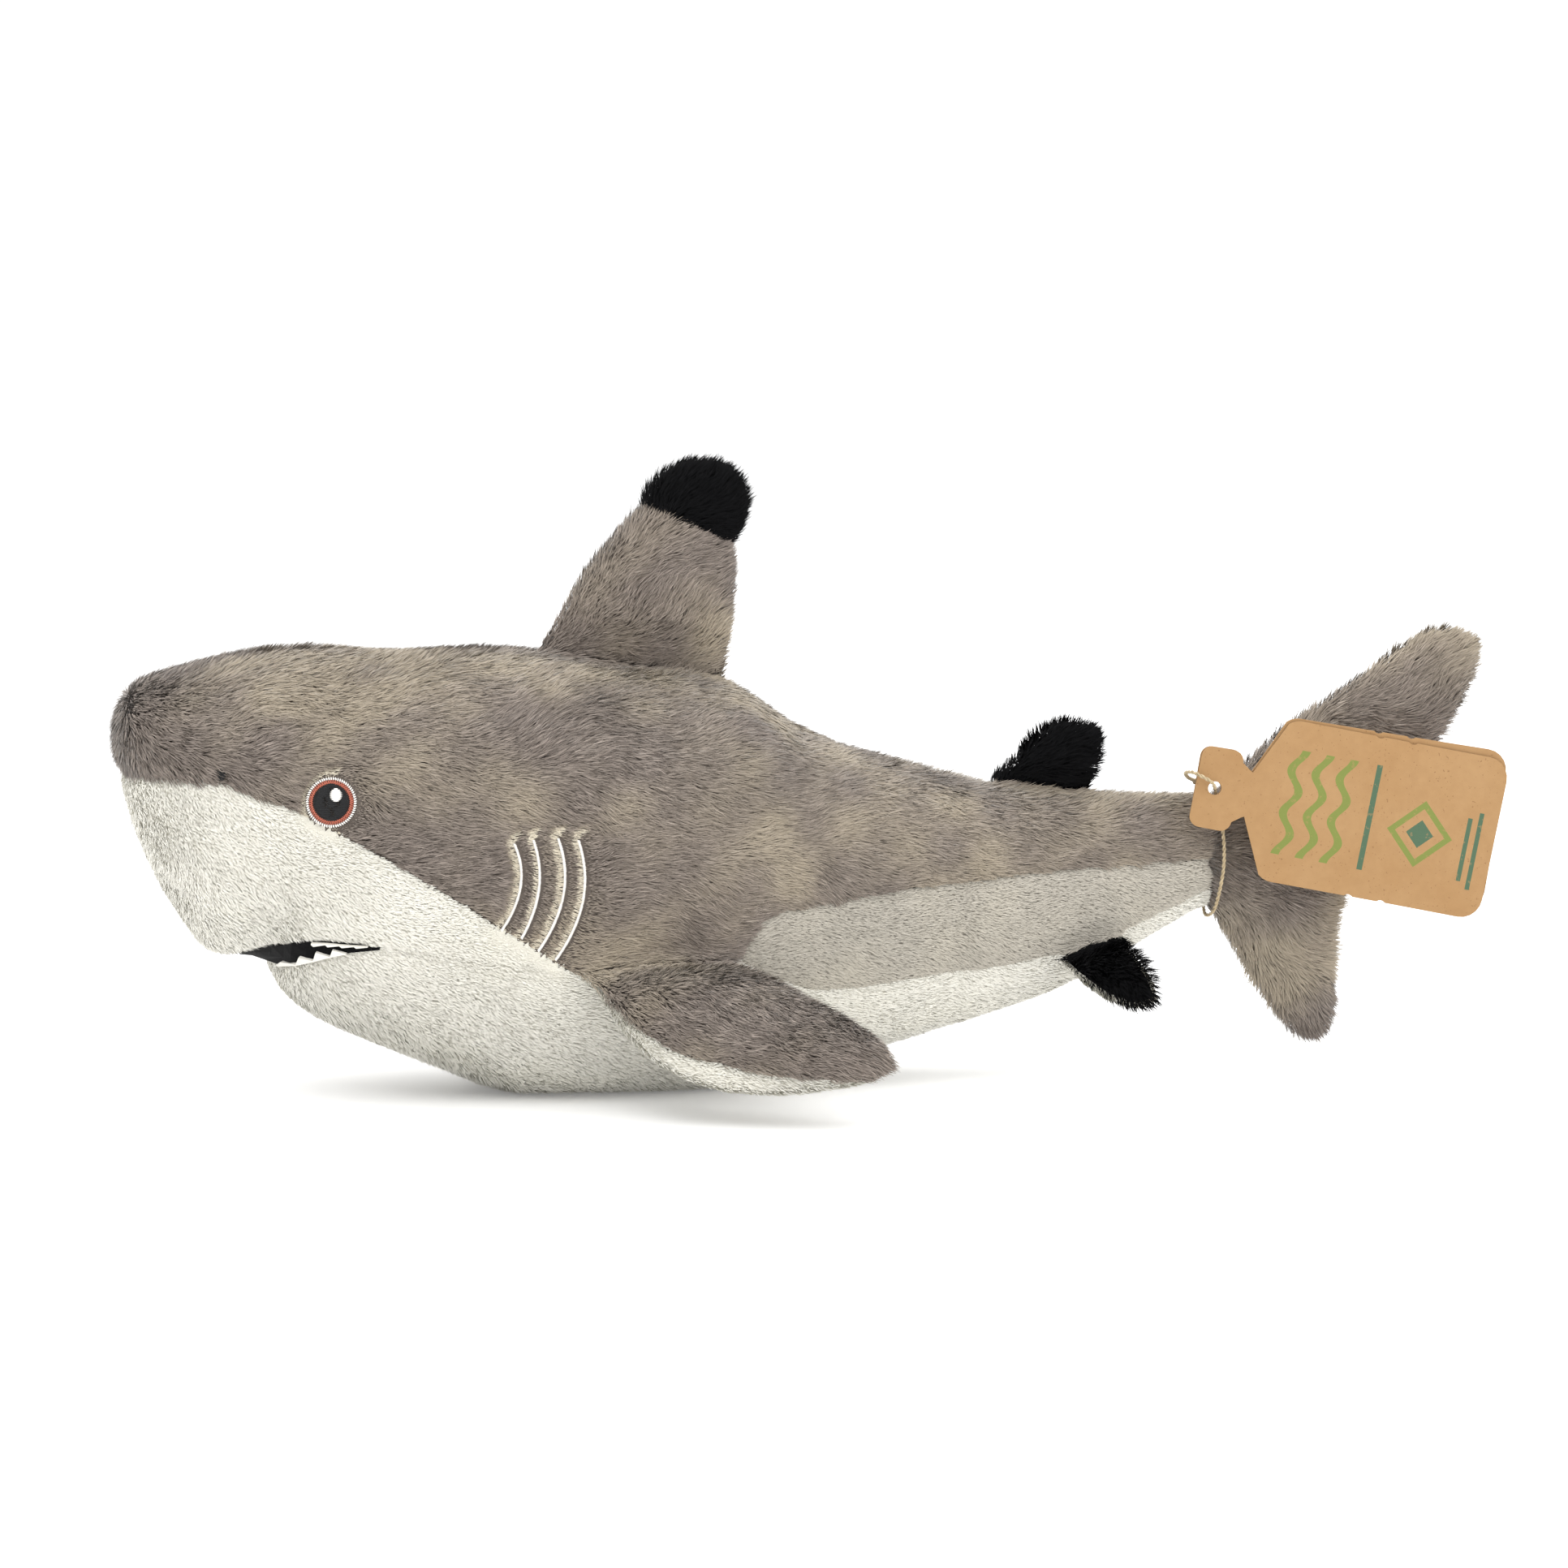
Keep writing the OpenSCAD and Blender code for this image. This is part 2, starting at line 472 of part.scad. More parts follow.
// Strip of felt teeth. It starts on a lip and its other edge is cut as a saw, each
// tooth steep at its front. heights are shares of the gap between the lips.
function tooth_angle(x, t, upper) =
  upper ? mix(face_edge(x), belly_top(x), t) : mix(belly_top(x), face_edge(x), t);
module teeth(first, last, heights, valley, upper) {
  n = len(heights);
  saw = [for (i = [0:2 * n]) let (k = floor(i / 2), x = mix(first, last, k / n))
    i % 2 == 0 ? [x, valley] : [x + tooth_step, heights[k]]];
  edge = [for (p = saw) upper ? [tooth_angle(p[0], 0, true), tooth_angle(p[0], p[1], true)]
                              : [tooth_angle(p[0], p[1], false), tooth_angle(p[0], 0, false)]];
  for (side = [-1, 1])
    body_panel([for (p = saw) p[0]], edge, 1, side, -1, [0.4, felt_t + 0.4]);
}
module upper_teeth() color(white) teeth(mouth_corner_x - 18, mouth_corner_x - 3, [0.16, 0.2, 0.24, 0.3], 0.06, true);
module lower_teeth() color(white) teeth(chin_x + 2, mouth_corner_x - 8.6, [0.3, 0.4, 0.52, 0.56], 0.07, false);

// Embroidery lies on the pile's roots, so it's sunk into its panel.
module on_body(x, z, side) {
  a = angle_at(x, z);
  p = body_point(x, a, side, 0);
  n = body_normal(x, a, side);
  translate(p) rotate([0, acos(n[2]), atan2(n[1], n[0])]) children();
}
module eye_at(side) on_body(-138, 85.5, side) children();
module stitched_ring(r, w) {
  translate([0, 0, -1]) difference() {
    cylinder(h = 1 + stitch_h, r = r, $fn = 48);
    translate([0, 0, -1]) cylinder(h = 4, r = r - w, $fn = 48);
  }
}
iris_r = eye_outline_r - eye_outline_w;
module eye_outline(side) color(white) eye_at(side) stitched_ring(eye_outline_r, eye_outline_w);
module eye_iris(side) color([0.55, 0.24, 0.16]) eye_at(side) stitched_ring(iris_r, iris_r - pupil_r);
glint_place = [-1.9, 1.3];
module glint_position(side) {
  translate([glint_place[0], -side * glint_place[1], 0]) children();
}
module eye_pupil(side) color(black) eye_at(side) difference() {
  translate([0, 0, -1]) cylinder(h = 1 + stitch_h, r = pupil_r, $fn = 48);
  glint_position(side) translate([0, 0, -2]) cylinder(h = 5, r = glint_r, $fn = 32);
}
module eye_glint(side) color(white) eye_at(side) glint_position(side)
  translate([0, 0, -1]) cylinder(h = 1 + stitch_h, r = glint_r, $fn = 32);
module nostril(side) color(black) on_body(-167, 92.6, side)
  translate([0, 0, -1]) cylinder(h = 1 + stitch_h, r = nostril_r, $fn = 24);

// Gills: four satin lines per side, bulging to the tail, their lower ends forward.
gill_lines = [
  [[-89.2, 74.1], [-87.9, 64.6], [-88.6, 58.5], [-93, 50.4]],
  [[-84.1, 75], [-82.6, 65.3], [-83.8, 57.5], [-87.6, 48.2]],
  [[-77.5, 75.3], [-76, 66.3], [-77, 57.4], [-82.9, 44.6]],
  [[-71.9, 74.7], [-70.6, 66.3], [-71.7, 55.3], [-78.3, 42]]
];
module gill_stitches(side) {
  color(white) for (g = gill_lines)
    tube([for (p = smooth_path(g, 4)) body_point(p[0], angle_at(p[0], p[1]), side, 0.1)], gill_w / 2, 6);
}

// The two faces of an upright fin mirror each other.
module faced(side) {
  mirror([0, side > 0 ? 1 : 0, 0]) children();
}
module dorsal_panel(side) color(grey) faced(side)
  fin_panel(dorsal_rows, fin_swell, dorsal_half_t, dorsal_n, dorsal_us, -1, fin_panel_t);
module dorsal_tip(side) color(black) faced(side)
  fin_panel(dorsal_rows, fin_swell, dorsal_half_t, dorsal_n, dorsal_tip_us, -1, fin_panel_t);
module dorsal_stuffing() color(fluff)
  fin_core(dorsal_rows, fin_swell, dorsal_half_t, dorsal_n, concat(dorsal_us,
    [for (u = dorsal_tip_us) if (u > dorsal_seam) u]), fin_panel_t);

module paired_fin(rows, swell, half_t, us, side, face, roll = 0) {
  r = side < 0 ? rows : mirrored(rows);
  n = fin_frame(r);
  up = n[2] > 0 ? 1 : -1;
  fin_panel(r, swell, half_t, n * up * -side, us, face * -side, fin_panel_t,
    face < 0 ? roll_way(roll, side) : [0, 0, 0]);
}
module paired_core(rows, swell, half_t, us, side, roll = 0) {
  r = side < 0 ? rows : mirrored(rows);
  n = fin_frame(r);
  way = roll_way(roll, side);
  fin_core(r, swell, half_t, n * (n[2] > 0 ? 1 : -1) * -side, us, fin_panel_t,
    side < 0 ? [[0, 0, 0], way] : [way, [0, 0, 0]]);
}
module pectoral_top(side) color(grey)
  paired_fin(pectoral_rows, fin_swell, pectoral_half_t, fin_us, side, 1);
module pectoral_underside(side) color(ivory)
  paired_fin(pectoral_rows, fin_swell, pectoral_half_t, fin_us, side, -1, pectoral_roll);
module pectoral_stuffing(side) color(fluff)
  paired_core(pectoral_rows, fin_swell, pectoral_half_t, fin_us, side, pectoral_roll);
module pelvic_top(side) color(black)
  paired_fin(pelvic_rows, fin_swell, pelvic_half_t, small_fin_us, side, 1);
module pelvic_underside(side) color(ivory)
  paired_fin(pelvic_rows, fin_swell, pelvic_half_t, small_fin_us, side, -1);
module pelvic_stuffing(side) color(fluff)
  paired_core(pelvic_rows, fin_swell, pelvic_half_t, small_fin_us, side);
module second_dorsal(side) color(black) faced(side)
  fin_panel(second_rows, fin_swell, second_dorsal_half_t, dorsal_n, small_fin_us, -1, fin_panel_t);
module second_dorsal_stuffing() color(fluff)
  fin_core(second_rows, fin_swell, second_dorsal_half_t, dorsal_n, small_fin_us, fin_panel_t);

module tail_back_panel(side) {
  color(grey) body_panel(tail_rows, [for (x = tail_rows) [0, back_edge(x)]], n_back, side, 1);
}
module tail_flank_panel(side) {
  color(pale) body_panel(tail_rows, [for (x = tail_rows) [back_edge(x), belly_top(x)]], 3, side, 1);
}
module tail_belly_panel() {
  color(ivory) belly_shape(tail_rows, [for (x = tail_rows) belly_top(x)], 5, 1);
}
module tail_stuffing() {
  color(fluff) ring_solid([for (x = tail_rows) core_ring(x, panel_t - stuffing_press, 1)]);
}
module caudal_panel(side) color(grey) faced(-side)
  fin_panel(caudal_rows, caudal_swell, caudal_half_t, -dorsal_n, caudal_us, -1, fin_panel_t);
module caudal_stuffing() color(fluff)
  fin_core(caudal_rows, caudal_swell, caudal_half_t, -dorsal_n, caudal_us, fin_panel_t);

// Bottle-shaped card. Its long axis starts at the hole, and x runs to its base.
function arc(cx, cy, r, a0, a1, n = 5) =
  [for (i = [0:n]) [cx + r * cos(mix(a0, a1, i / n)), cy + r * sin(mix(a0, a1, i / n))]];
half_card = tag_width / 2;
cap_half = tag_width / 4;
card_end = tag_length - 5.5;
half_outline = concat(
  arc(-2.5, cap_half - 3, 3, 180, 90),
  arc(3.5, cap_half - 3, 3, 90, 0),
  arc(11.5, cap_half - 0.5, 5, 225, 250, 2),
  arc(21, half_card - 6, 6, 130, 90),
  arc(43.5, half_card + 1.2, 1.8, 225, 315, 4),
  arc(53, half_card + 1.2, 1.8, 225, 315, 4),
  arc(card_end - 6, half_card - 6, 6, 90, 0)
);
card_outline = concat(half_outline, [for (i = [len(half_outline) - 1:-1:0]) [half_outline[i][0], -half_outline[i][1]]]);
module card(turn, depth) {
  translate(tag_hole) rotate([0, 0, -tag_lean]) rotate([90, 0, 0]) rotate(-tag_turn + turn)
    translate([0, 0, depth]) linear_extrude(card_t) difference() {
      polygon(card_outline);
      circle(d = tag_hole_d, $fn = 24);
    }
}
module tag_front_card() color(kraft) card(0, 0.1);
module tag_back_card() color(kraft) card(1.6, -card_t - 0.3);
module twine_loop() color([0.72, 0.63, 0.49])
  tube([for (p = smooth_path(twine_points, 3)) scaled(p)], twine_d / 2, 8);
module twine_knot() color([0.72, 0.63, 0.49])
  translate(scaled([113, 3.6, 82])) sphere(r = twine_d * 1.5, $fn = 16);

back_panel(-1);  // back_panel_left
back_panel(1);  // back_panel_right
face_panel(-1);  // face_panel_left
face_panel(1);  // face_panel_right
belly_panel();
flank_panel(-1);  // flank_panel_left
flank_panel(1);  // flank_panel_right
body_stuffing();
mouth_lining();
upper_teeth();
lower_teeth();
eye_outline(-1);  // eye_outline_left
eye_iris(-1);  // eye_iris_left
eye_pupil(-1);  // eye_pupil_left
eye_glint(-1);  // eye_glint_left
eye_outline(1);  // eye_outline_right
eye_iris(1);  // eye_iris_right
eye_pupil(1);  // eye_pupil_right
eye_glint(1);  // eye_glint_right
nostril(-1);  // nostril_left
nostril(1);  // nostril_right
gill_stitches(-1);  // gill_stitches_left
gill_stitches(1);  // gill_stitches_right
dorsal_panel(-1);  // dorsal_panel_left
dorsal_panel(1);  // dorsal_panel_right
dorsal_tip(-1);  // dorsal_tip_left
dorsal_tip(1);  // dorsal_tip_right
dorsal_stuffing();
pectoral_top(-1);  // pectoral_top_left
pectoral_underside(-1);  // pectoral_underside_left
pectoral_stuffing(-1);  // pectoral_stuffing_left
pectoral_top(1);  // pectoral_top_right
pectoral_underside(1);  // pectoral_underside_right
pectoral_stuffing(1);  // pectoral_stuffing_right
tail_back_panel(-1);  // tail_back_panel_left
tail_back_panel(1);  // tail_back_panel_right
tail_flank_panel(-1);  // tail_flank_panel_left
tail_flank_panel(1);  // tail_flank_panel_right
tail_belly_panel();
tail_stuffing();
second_dorsal(-1);  // second_dorsal_left
second_dorsal(1);  // second_dorsal_right
second_dorsal_stuffing();
pelvic_top(-1);  // pelvic_top_left
pelvic_underside(-1);  // pelvic_underside_left
pelvic_stuffing(-1);  // pelvic_stuffing_left
pelvic_top(1);  // pelvic_top_right
pelvic_underside(1);  // pelvic_underside_right
pelvic_stuffing(1);  // pelvic_stuffing_right
caudal_panel(-1);  // caudal_panel_left
caudal_panel(1);  // caudal_panel_right
caudal_stuffing();
tag_front_card();
tag_back_card();
twine_loop();
twine_knot();
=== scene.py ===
import json
import math

import bmesh
import bpy
import numpy as np
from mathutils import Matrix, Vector
from mathutils.bvhtree import BVHTree

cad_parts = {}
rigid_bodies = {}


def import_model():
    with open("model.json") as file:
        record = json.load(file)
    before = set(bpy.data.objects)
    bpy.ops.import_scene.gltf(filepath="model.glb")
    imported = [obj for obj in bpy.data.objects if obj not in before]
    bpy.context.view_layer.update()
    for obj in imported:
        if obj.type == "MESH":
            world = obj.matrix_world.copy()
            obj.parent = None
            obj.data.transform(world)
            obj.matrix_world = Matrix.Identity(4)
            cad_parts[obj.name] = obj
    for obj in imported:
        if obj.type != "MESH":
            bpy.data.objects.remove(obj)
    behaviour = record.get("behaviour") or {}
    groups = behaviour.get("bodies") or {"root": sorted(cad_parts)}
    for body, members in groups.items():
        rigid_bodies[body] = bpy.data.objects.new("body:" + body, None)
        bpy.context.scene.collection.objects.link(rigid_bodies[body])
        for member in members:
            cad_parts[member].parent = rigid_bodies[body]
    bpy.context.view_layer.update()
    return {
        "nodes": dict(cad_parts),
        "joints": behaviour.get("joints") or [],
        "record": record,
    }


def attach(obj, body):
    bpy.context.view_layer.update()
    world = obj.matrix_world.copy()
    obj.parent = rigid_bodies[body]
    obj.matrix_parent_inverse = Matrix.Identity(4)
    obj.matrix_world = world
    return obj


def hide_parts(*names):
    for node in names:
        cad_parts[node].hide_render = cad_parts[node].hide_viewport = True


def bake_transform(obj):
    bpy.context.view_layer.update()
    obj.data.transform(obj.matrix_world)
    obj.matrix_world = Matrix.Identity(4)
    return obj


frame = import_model()
bpy.ops.object.select_all(action="DESELECT")

# ---- Camera and studio -------------------------------------------------------
# The toy lies on a plain pale floor under a wide soft light, and is seen from its
# left side, a little from the front and a little from above.
camera_data = bpy.data.cameras.new("camera")
camera_data.lens, camera_data.sensor_width = 131.34, 36
camera_data.clip_start, camera_data.clip_end = 0.05, 60
camera = bpy.data.objects.new("camera", camera_data)
bpy.context.scene.collection.objects.link(camera)
EYE_POINT, LOOKED_AT = Vector((-0.2835, -1.5671, 0.2510)), Vector((-0.0072, 0, 0.0838))
camera.location = EYE_POINT
aim = LOOKED_AT - EYE_POINT
camera.rotation_euler = aim.to_track_quat("-Z", "Y").to_euler()
bpy.context.scene.camera = camera
bpy.context.scene.view_settings.view_transform = "Standard"

FLOOR_SIDE = 24
bpy.ops.mesh.primitive_plane_add(size=FLOOR_SIDE)
floor = bpy.context.object
floor.name = "floor"
floor_finish = bpy.data.materials.new("floor")
floor_finish.use_nodes = True
floor_shader = floor_finish.node_tree.nodes["Principled BSDF"]
floor_shader.inputs["Base Color"].default_value = (0.9, 0.9, 0.9, 1)
floor_shader.inputs["Roughness"].default_value = 0.9
floor_shader.inputs["Emission Color"].default_value = (1, 1, 1, 1)
floor_shader.inputs["Emission Strength"].default_value = 0.12
floor.data.materials.append(floor_finish)
TOY_MIDDLE = Vector((0, 0, 0.06))


def soft_light(name, place, size, power):
    """A square area light that faces the toy."""
    light = bpy.data.lights.new(name, "AREA")
    light.size, light.energy = size, power
    lamp = bpy.data.objects.new(name, light)
    lamp.location = place
    lamp.rotation_euler = (TOY_MIDDLE - lamp.location).to_track_quat("-Z", "Y").to_euler()
    bpy.context.scene.collection.objects.link(lamp)


soft_light("key_light", (-0.7, -1.3, 1.9), 1.4, 21)
soft_light("fill_light", (1.4, -1.6, 0.9), 1.8, 13)
soft_light("top_light", (0.1, 0.4, 2.1), 1.8, 20)
soft_light("back_light", (0.3, 1.9, 1.2), 1.6, 10)
world = bpy.data.worlds.new("studio")
world.use_nodes = True
world.node_tree.nodes["Background"].inputs["Color"].default_value = (1, 1, 1, 1)
world.node_tree.nodes["Background"].inputs["Strength"].default_value = 1.06
bpy.context.scene.world = world

# ---- Twine loop --------------------------------------------------------------
# A loop of two-ply jute twine round the root of the tail fin. It runs through the
# hang tag's hole, and its ends are tied in a small knot above the tail.
TWINE_D = 0.0011
TWIST_PITCH = 0.0034
LOOSE_FIBRE, LOOSE_FIBRE_D = 0.001, 0.00004
TWINE_ROUTE = np.array([
    (112.8, 3, 82), (110.5, -2, 82.8), (107, -8, 84.4), (104.8, -14, 86.3), (105.6, -19.3, 87),
    (109.8, -21.8, 84.8), (111.8, -19.4, 82.7), (112.6, -16.8, 81.6), (114.4, -14.8, 76),
    (116, -13.4, 68), (116.6, -11.8, 60), (116, -9.8, 52.5), (115.3, -6, 46.4), (114.6, 0, 44.2),
    (115.3, 6, 46.4), (116.2, 9.8, 53), (116.8, 10.6, 62), (116.2, 9.8, 71), (114.6, 7, 78.4),
    (113.2, 4.2, 81.4),
]) / 1000


def smooth_path(points, steps):
    """A curve through the points, with this many steps between each two."""
    p = np.vstack([2 * points[0] - points[1], points, 2 * points[-1] - points[-2]])
    t = (np.arange(steps) / steps)[:, None]
    out = []
    for a, b, c, d in zip(p[:-3], p[1:-2], p[2:-1], p[3:]):
        out.append(0.5 * (2 * b + (c - a) * t + (2 * a - 5 * b + 4 * c - d) * t**2
                          + (3 * b - a - 3 * c + d) * t**3))
    return np.vstack(out + [points[-1:]])


def unit(v):
    """Directions scaled to a length of one."""
    return v / np.maximum(np.linalg.norm(v, axis=-1, keepdims=True), 1e-12)


def side_frames(path):
    """Two directions across the path at each point, turning as little as possible."""
    along = unit(np.gradient(path, axis=0))
    across = np.zeros_like(path)
    first = np.cross(along[0], (0, 0, 1.0))
    across[0] = unit(first if np.linalg.norm(first) > 0.1 else np.cross(along[0], (0, 1.0, 0)))
    for i in range(1, len(path)):
        v = across[i - 1] - along[i] * (across[i - 1] @ along[i])
        across[i] = unit(v)
    return across, np.cross(along, across)


def tube(path, radius, sides=7):
    """Points and faces of a round strand with closed ends."""
    across, other = side_frames(path)
    turn = np.linspace(0, 2 * math.pi, sides, endpoint=False)
    ring = np.cos(turn)[None, :, None] * across[:, None] + np.sin(turn)[None, :, None] * other[:, None]
    points = (path[:, None] + radius * ring).reshape(-1, 3)
    faces = []
    for i in range(len(path) - 1):
        for j in range(sides):
            k = (j + 1) % sides
            faces.append((i * sides + j, i * sides + k, (i + 1) * sides + k, (i + 1) * sides + j))
    faces.append(tuple(range(sides))[::-1])
    faces.append(tuple((len(path) - 1) * sides + j for j in range(sides)))
    return points, faces


def joined(parts):
    """Several (points, faces) as one."""
    points, faces, start = [], [], 0
    for p, f in parts:
        points.append(p)
        faces += [tuple(start + i for i in face) for face in f]
        start += len(p)
    return np.vstack(points), faces


def twisted(path, diameter, pitch, fuzz, seed):
    """Two strands laid round each other along the path, with loose fibres."""
    across, other = side_frames(path)
    run = np.concatenate([[0], np.cumsum(np.linalg.norm(np.diff(path, axis=0), axis=1))])
    parts = []
    for ply in (0, math.pi):
        angle = (run / pitch * 2 * math.pi + ply)[:, None]
        parts.append(tube(path + diameter * 0.25 * (np.cos(angle) * across + np.sin(angle) * other),
                          diameter * 0.27))
    rng = np.random.default_rng(seed)
    for i in rng.integers(1, len(path) - 1, fuzz):
        a = rng.uniform(0, 2 * math.pi)
        out = math.cos(a) * across[i] + math.sin(a) * other[i]
        lean = unit(path[i + 1] - path[i - 1]) * rng.uniform(-1, 1) + out * rng.uniform(0.4, 1)
        base, reach = path[i] + out * diameter * 0.3, rng.uniform(0.5, 1.3) * LOOSE_FIBRE
        wide = unit(np.cross(lean, out) + 1e-6) * LOOSE_FIBRE_D
        parts.append((np.array([base - wide, base + wide, base + lean * reach]), [(0, 1, 2)]))
    return joined(parts)


def new_piece(name, points, faces, finish, smooth=True):
    """An object at the origin from points, faces and a material."""
    mesh = bpy.data.meshes.new(name)
    mesh.from_pydata(np.asarray(points).tolist(), [], faces)
    mesh.polygons.foreach_set("use_smooth", np.full(len(mesh.polygons), smooth))
    mesh.materials.append(finish)
    mesh.update()
    piece = bpy.data.objects.new(name, mesh)
    bpy.context.scene.collection.objects.link(piece)
    return piece


class Value:
    """A node's output, so that shader maths reads as an expression."""

    def __init__(self, finish, socket):
        self.finish, self.socket = finish, socket

    def maths(self, operation, a, b):
        return self.finish.node("Math", {"operation": operation}, [a, b])

    def __add__(self, other):
        return self.maths("ADD", self, other)

    def __sub__(self, other):
        return self.maths("SUBTRACT", self, other)

    def __mul__(self, other):
        return self.maths("MULTIPLY", self, other)

    def __truediv__(self, other):
        return self.maths("DIVIDE", self, other)

    def __lt__(self, other):
        return self.maths("LESS_THAN", self, other)

    def __gt__(self, other):
        return self.maths("GREATER_THAN", self, other)

    def __rsub__(self, other):
        return self.maths("SUBTRACT", other, self)

    def __rtruediv__(self, other):
        return self.maths("DIVIDE", other, self)

    __radd__, __rmul__ = __add__, __mul__


class Finish:
    """A material under construction, named after the slot that it fills."""

    def __init__(self, name, roughness, sheen=0.0, **settings):
        self.slot = name
        self.material = bpy.data.materials.new(name)
        self.material.use_nodes = True
        self.tree = self.material.node_tree
        self.shader = self.tree.nodes["Principled BSDF"]
        self.shader.inputs["Roughness"].default_value = roughness
        self.shader.inputs["Sheen Weight"].default_value = sheen
        for socket, value in settings.items():
            self.shader.inputs[socket.replace("_", " ")].default_value = value

    def node(self, kind, settings, values, output=0):
        """Adds a node: its settings first, then a value or link for each of its sockets."""
        made = self.tree.nodes.new("ShaderNode" + kind)
        for key, value in settings.items():
            if key == "stops":
                ramp = made.color_ramp
                while len(ramp.elements) < len(value):
                    ramp.elements.new(0.5)
                for stop, (place, colour) in zip(ramp.elements, value):
                    stop.position, stop.color = place, (*colour, 1)
            else:
                setattr(made, key, value)
        pairs = values.items() if isinstance(values, dict) else enumerate(values)
        for key, value in pairs:
            if isinstance(value, Value):
                self.tree.links.new(value.socket, made.inputs[key])
            elif value is not None:
                made.inputs[key].default_value = value
        return Value(self, made.outputs[output])

    def place(self):
        return self.node("TexCoord", {}, {}, "Object")

    def noise(self, scale, detail=3.0, vector=None, roughness=0.5):
        return self.node("TexNoise", {}, {"Vector": vector or self.place(), "Scale": scale,
                                          "Detail": detail, "Roughness": roughness}, "Fac")

    def mix(self, share, a, b, blend="MIX"):
        ends = [x if isinstance(x, Value) else (*x, 1) for x in (a, b)]
        return self.node("Mix", {"data_type": "RGBA", "blend_type": blend},
                         {0: share, 6: ends[0], 7: ends[1]}, 2)

    def along(self, direction, scale=1000):
        """Distance along a direction, in millimetres."""
        dot = self.node("VectorMath", {"operation": "DOT_PRODUCT"},
                        [self.place(), tuple(direction)], "Value")
        return dot * scale

    def colour(self, value):
        self.tree.links.new(value.socket, self.shader.inputs["Base Color"])

    def bump(self, height, strength, distance):
        made = self.node("Bump", {}, {"Height": height, "Strength": strength, "Distance": distance})
        self.tree.links.new(made.socket, self.shader.inputs["Normal"])


def paint(code):
    """A display colour such as 8b8079 as the shader wants it."""
    out = []
    for i in (0, 2, 4):
        c = int(code[i:i + 2], 16) / 255
        out.append(c / 12.92 if c <= 0.04045 else ((c + 0.055) / 1.055) ** 2.4)
    return tuple(out)


jute = Finish("jute_twine", 0.85, 0.15)
fibres = jute.noise(900, 4)
jute.colour(jute.mix(fibres, paint("7d6748"), paint("d9c7a2")))
jute.bump(jute.noise(2600, 2), 0.5, 0.0002)

twine_path = smooth_path(TWINE_ROUTE, 14)
twine = new_piece("twine", *twisted(twine_path, TWINE_D, TWIST_PITCH, fuzz=240, seed=3), jute.material)
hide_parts("twine_loop")
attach(twine, "tail_fin")

# The overhand knot is a trefoil.
KNOT_AT, KNOT_SIZE, KNOT_STRAND = np.array((0.113, 0.0036, 0.082)), 0.00052, 0.001
turns = np.linspace(0, 2 * math.pi, 90)[:, None]
knot_path = KNOT_AT + KNOT_SIZE * np.hstack([
    np.sin(turns) + 2 * np.sin(2 * turns), np.cos(turns) - 2 * np.cos(2 * turns), -np.sin(3 * turns)])
knot = new_piece("twine_tied_ends", *twisted(knot_path, KNOT_STRAND, TWIST_PITCH, fuzz=40, seed=4),
                 jute.material)
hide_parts("twine_knot")
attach(knot, "tail_fin")
tag_cards = [frame["nodes"]["tag_front_card"], frame["nodes"]["tag_back_card"]]

# ---- Hang tag ----------------------------------------------------------------
# Two bottle-shaped cards of brown kraft board hang on the twine, one behind the
# other. The front one is printed in green with plain waves, a frame and bars.
TAG_HOLE = np.array((112, -18.5, 82.4))
TAG_LONG = np.array((0.97857, -0.06843, -0.19423))
TAG_UP = np.array((0.19376, -0.01355, 0.98096))


def kraft(name, printed):
    """Recycled brown board with flecks, and the front card's two green inks."""
    card = Finish(name, 0.82)
    fine, coarse = card.noise(420, 5), card.noise(60, 3)
    base = card.mix(coarse, paint("9c774b"), paint("ac8a60"))
    base = card.mix(fine * 0.35, base, paint("7d5833"))
    fleck = card.noise(1500, 2) > 0.69
    base = card.mix(fleck * 0.55, base, paint("6f4c2b"))
    if printed:
        u = card.along(TAG_LONG) - float(TAG_HOLE @ TAG_LONG)
        v = card.along(TAG_UP) - float(TAG_HOLE @ TAG_UP)

        def size(x):
            return card.node("Math", {"operation": "ABSOLUTE"}, [x])

        def band(x, middle, width):
            return size(x - middle) < width / 2

        wave = card.node("Math", {"operation": "SINE"}, [v * 0.52]) * 1.6
        waves = band(u - wave, 22, 2.4) + band(u - wave, 29, 2.4) + band(u - wave, 36, 2.4)
        waves = waves * (size(v) < 15)
        frame_out = (size(u - 60) + size(v + 2)) < 9.5
        frame_in = (size(u - 60) + size(v + 2)) < 7.2
        core = (size(u - 60) + size(v + 2)) < 4
        bars = (band(u, 73.5, 1.3) * (size(v + 4) < 9) + band(u, 76.5, 1.3) * (size(v + 4) < 11)
                + band(u, 45, 1.6) * (size(v) < 15))
        worn = 0.9 - (card.noise(700, 3) > 0.63) * 0.3
        base = card.mix((waves + frame_out - frame_in) * worn, base, paint("6b7b35"))
        base = card.mix((bars + core) * worn, base, paint("2f5a45"))
    card.colour(base)
    card.bump(fine, 0.35, 0.0002)
    return card.material


for card, printed in zip(tag_cards, (True, False)):
    card.data.materials.clear()
    card.data.materials.append(kraft(card.name, printed))

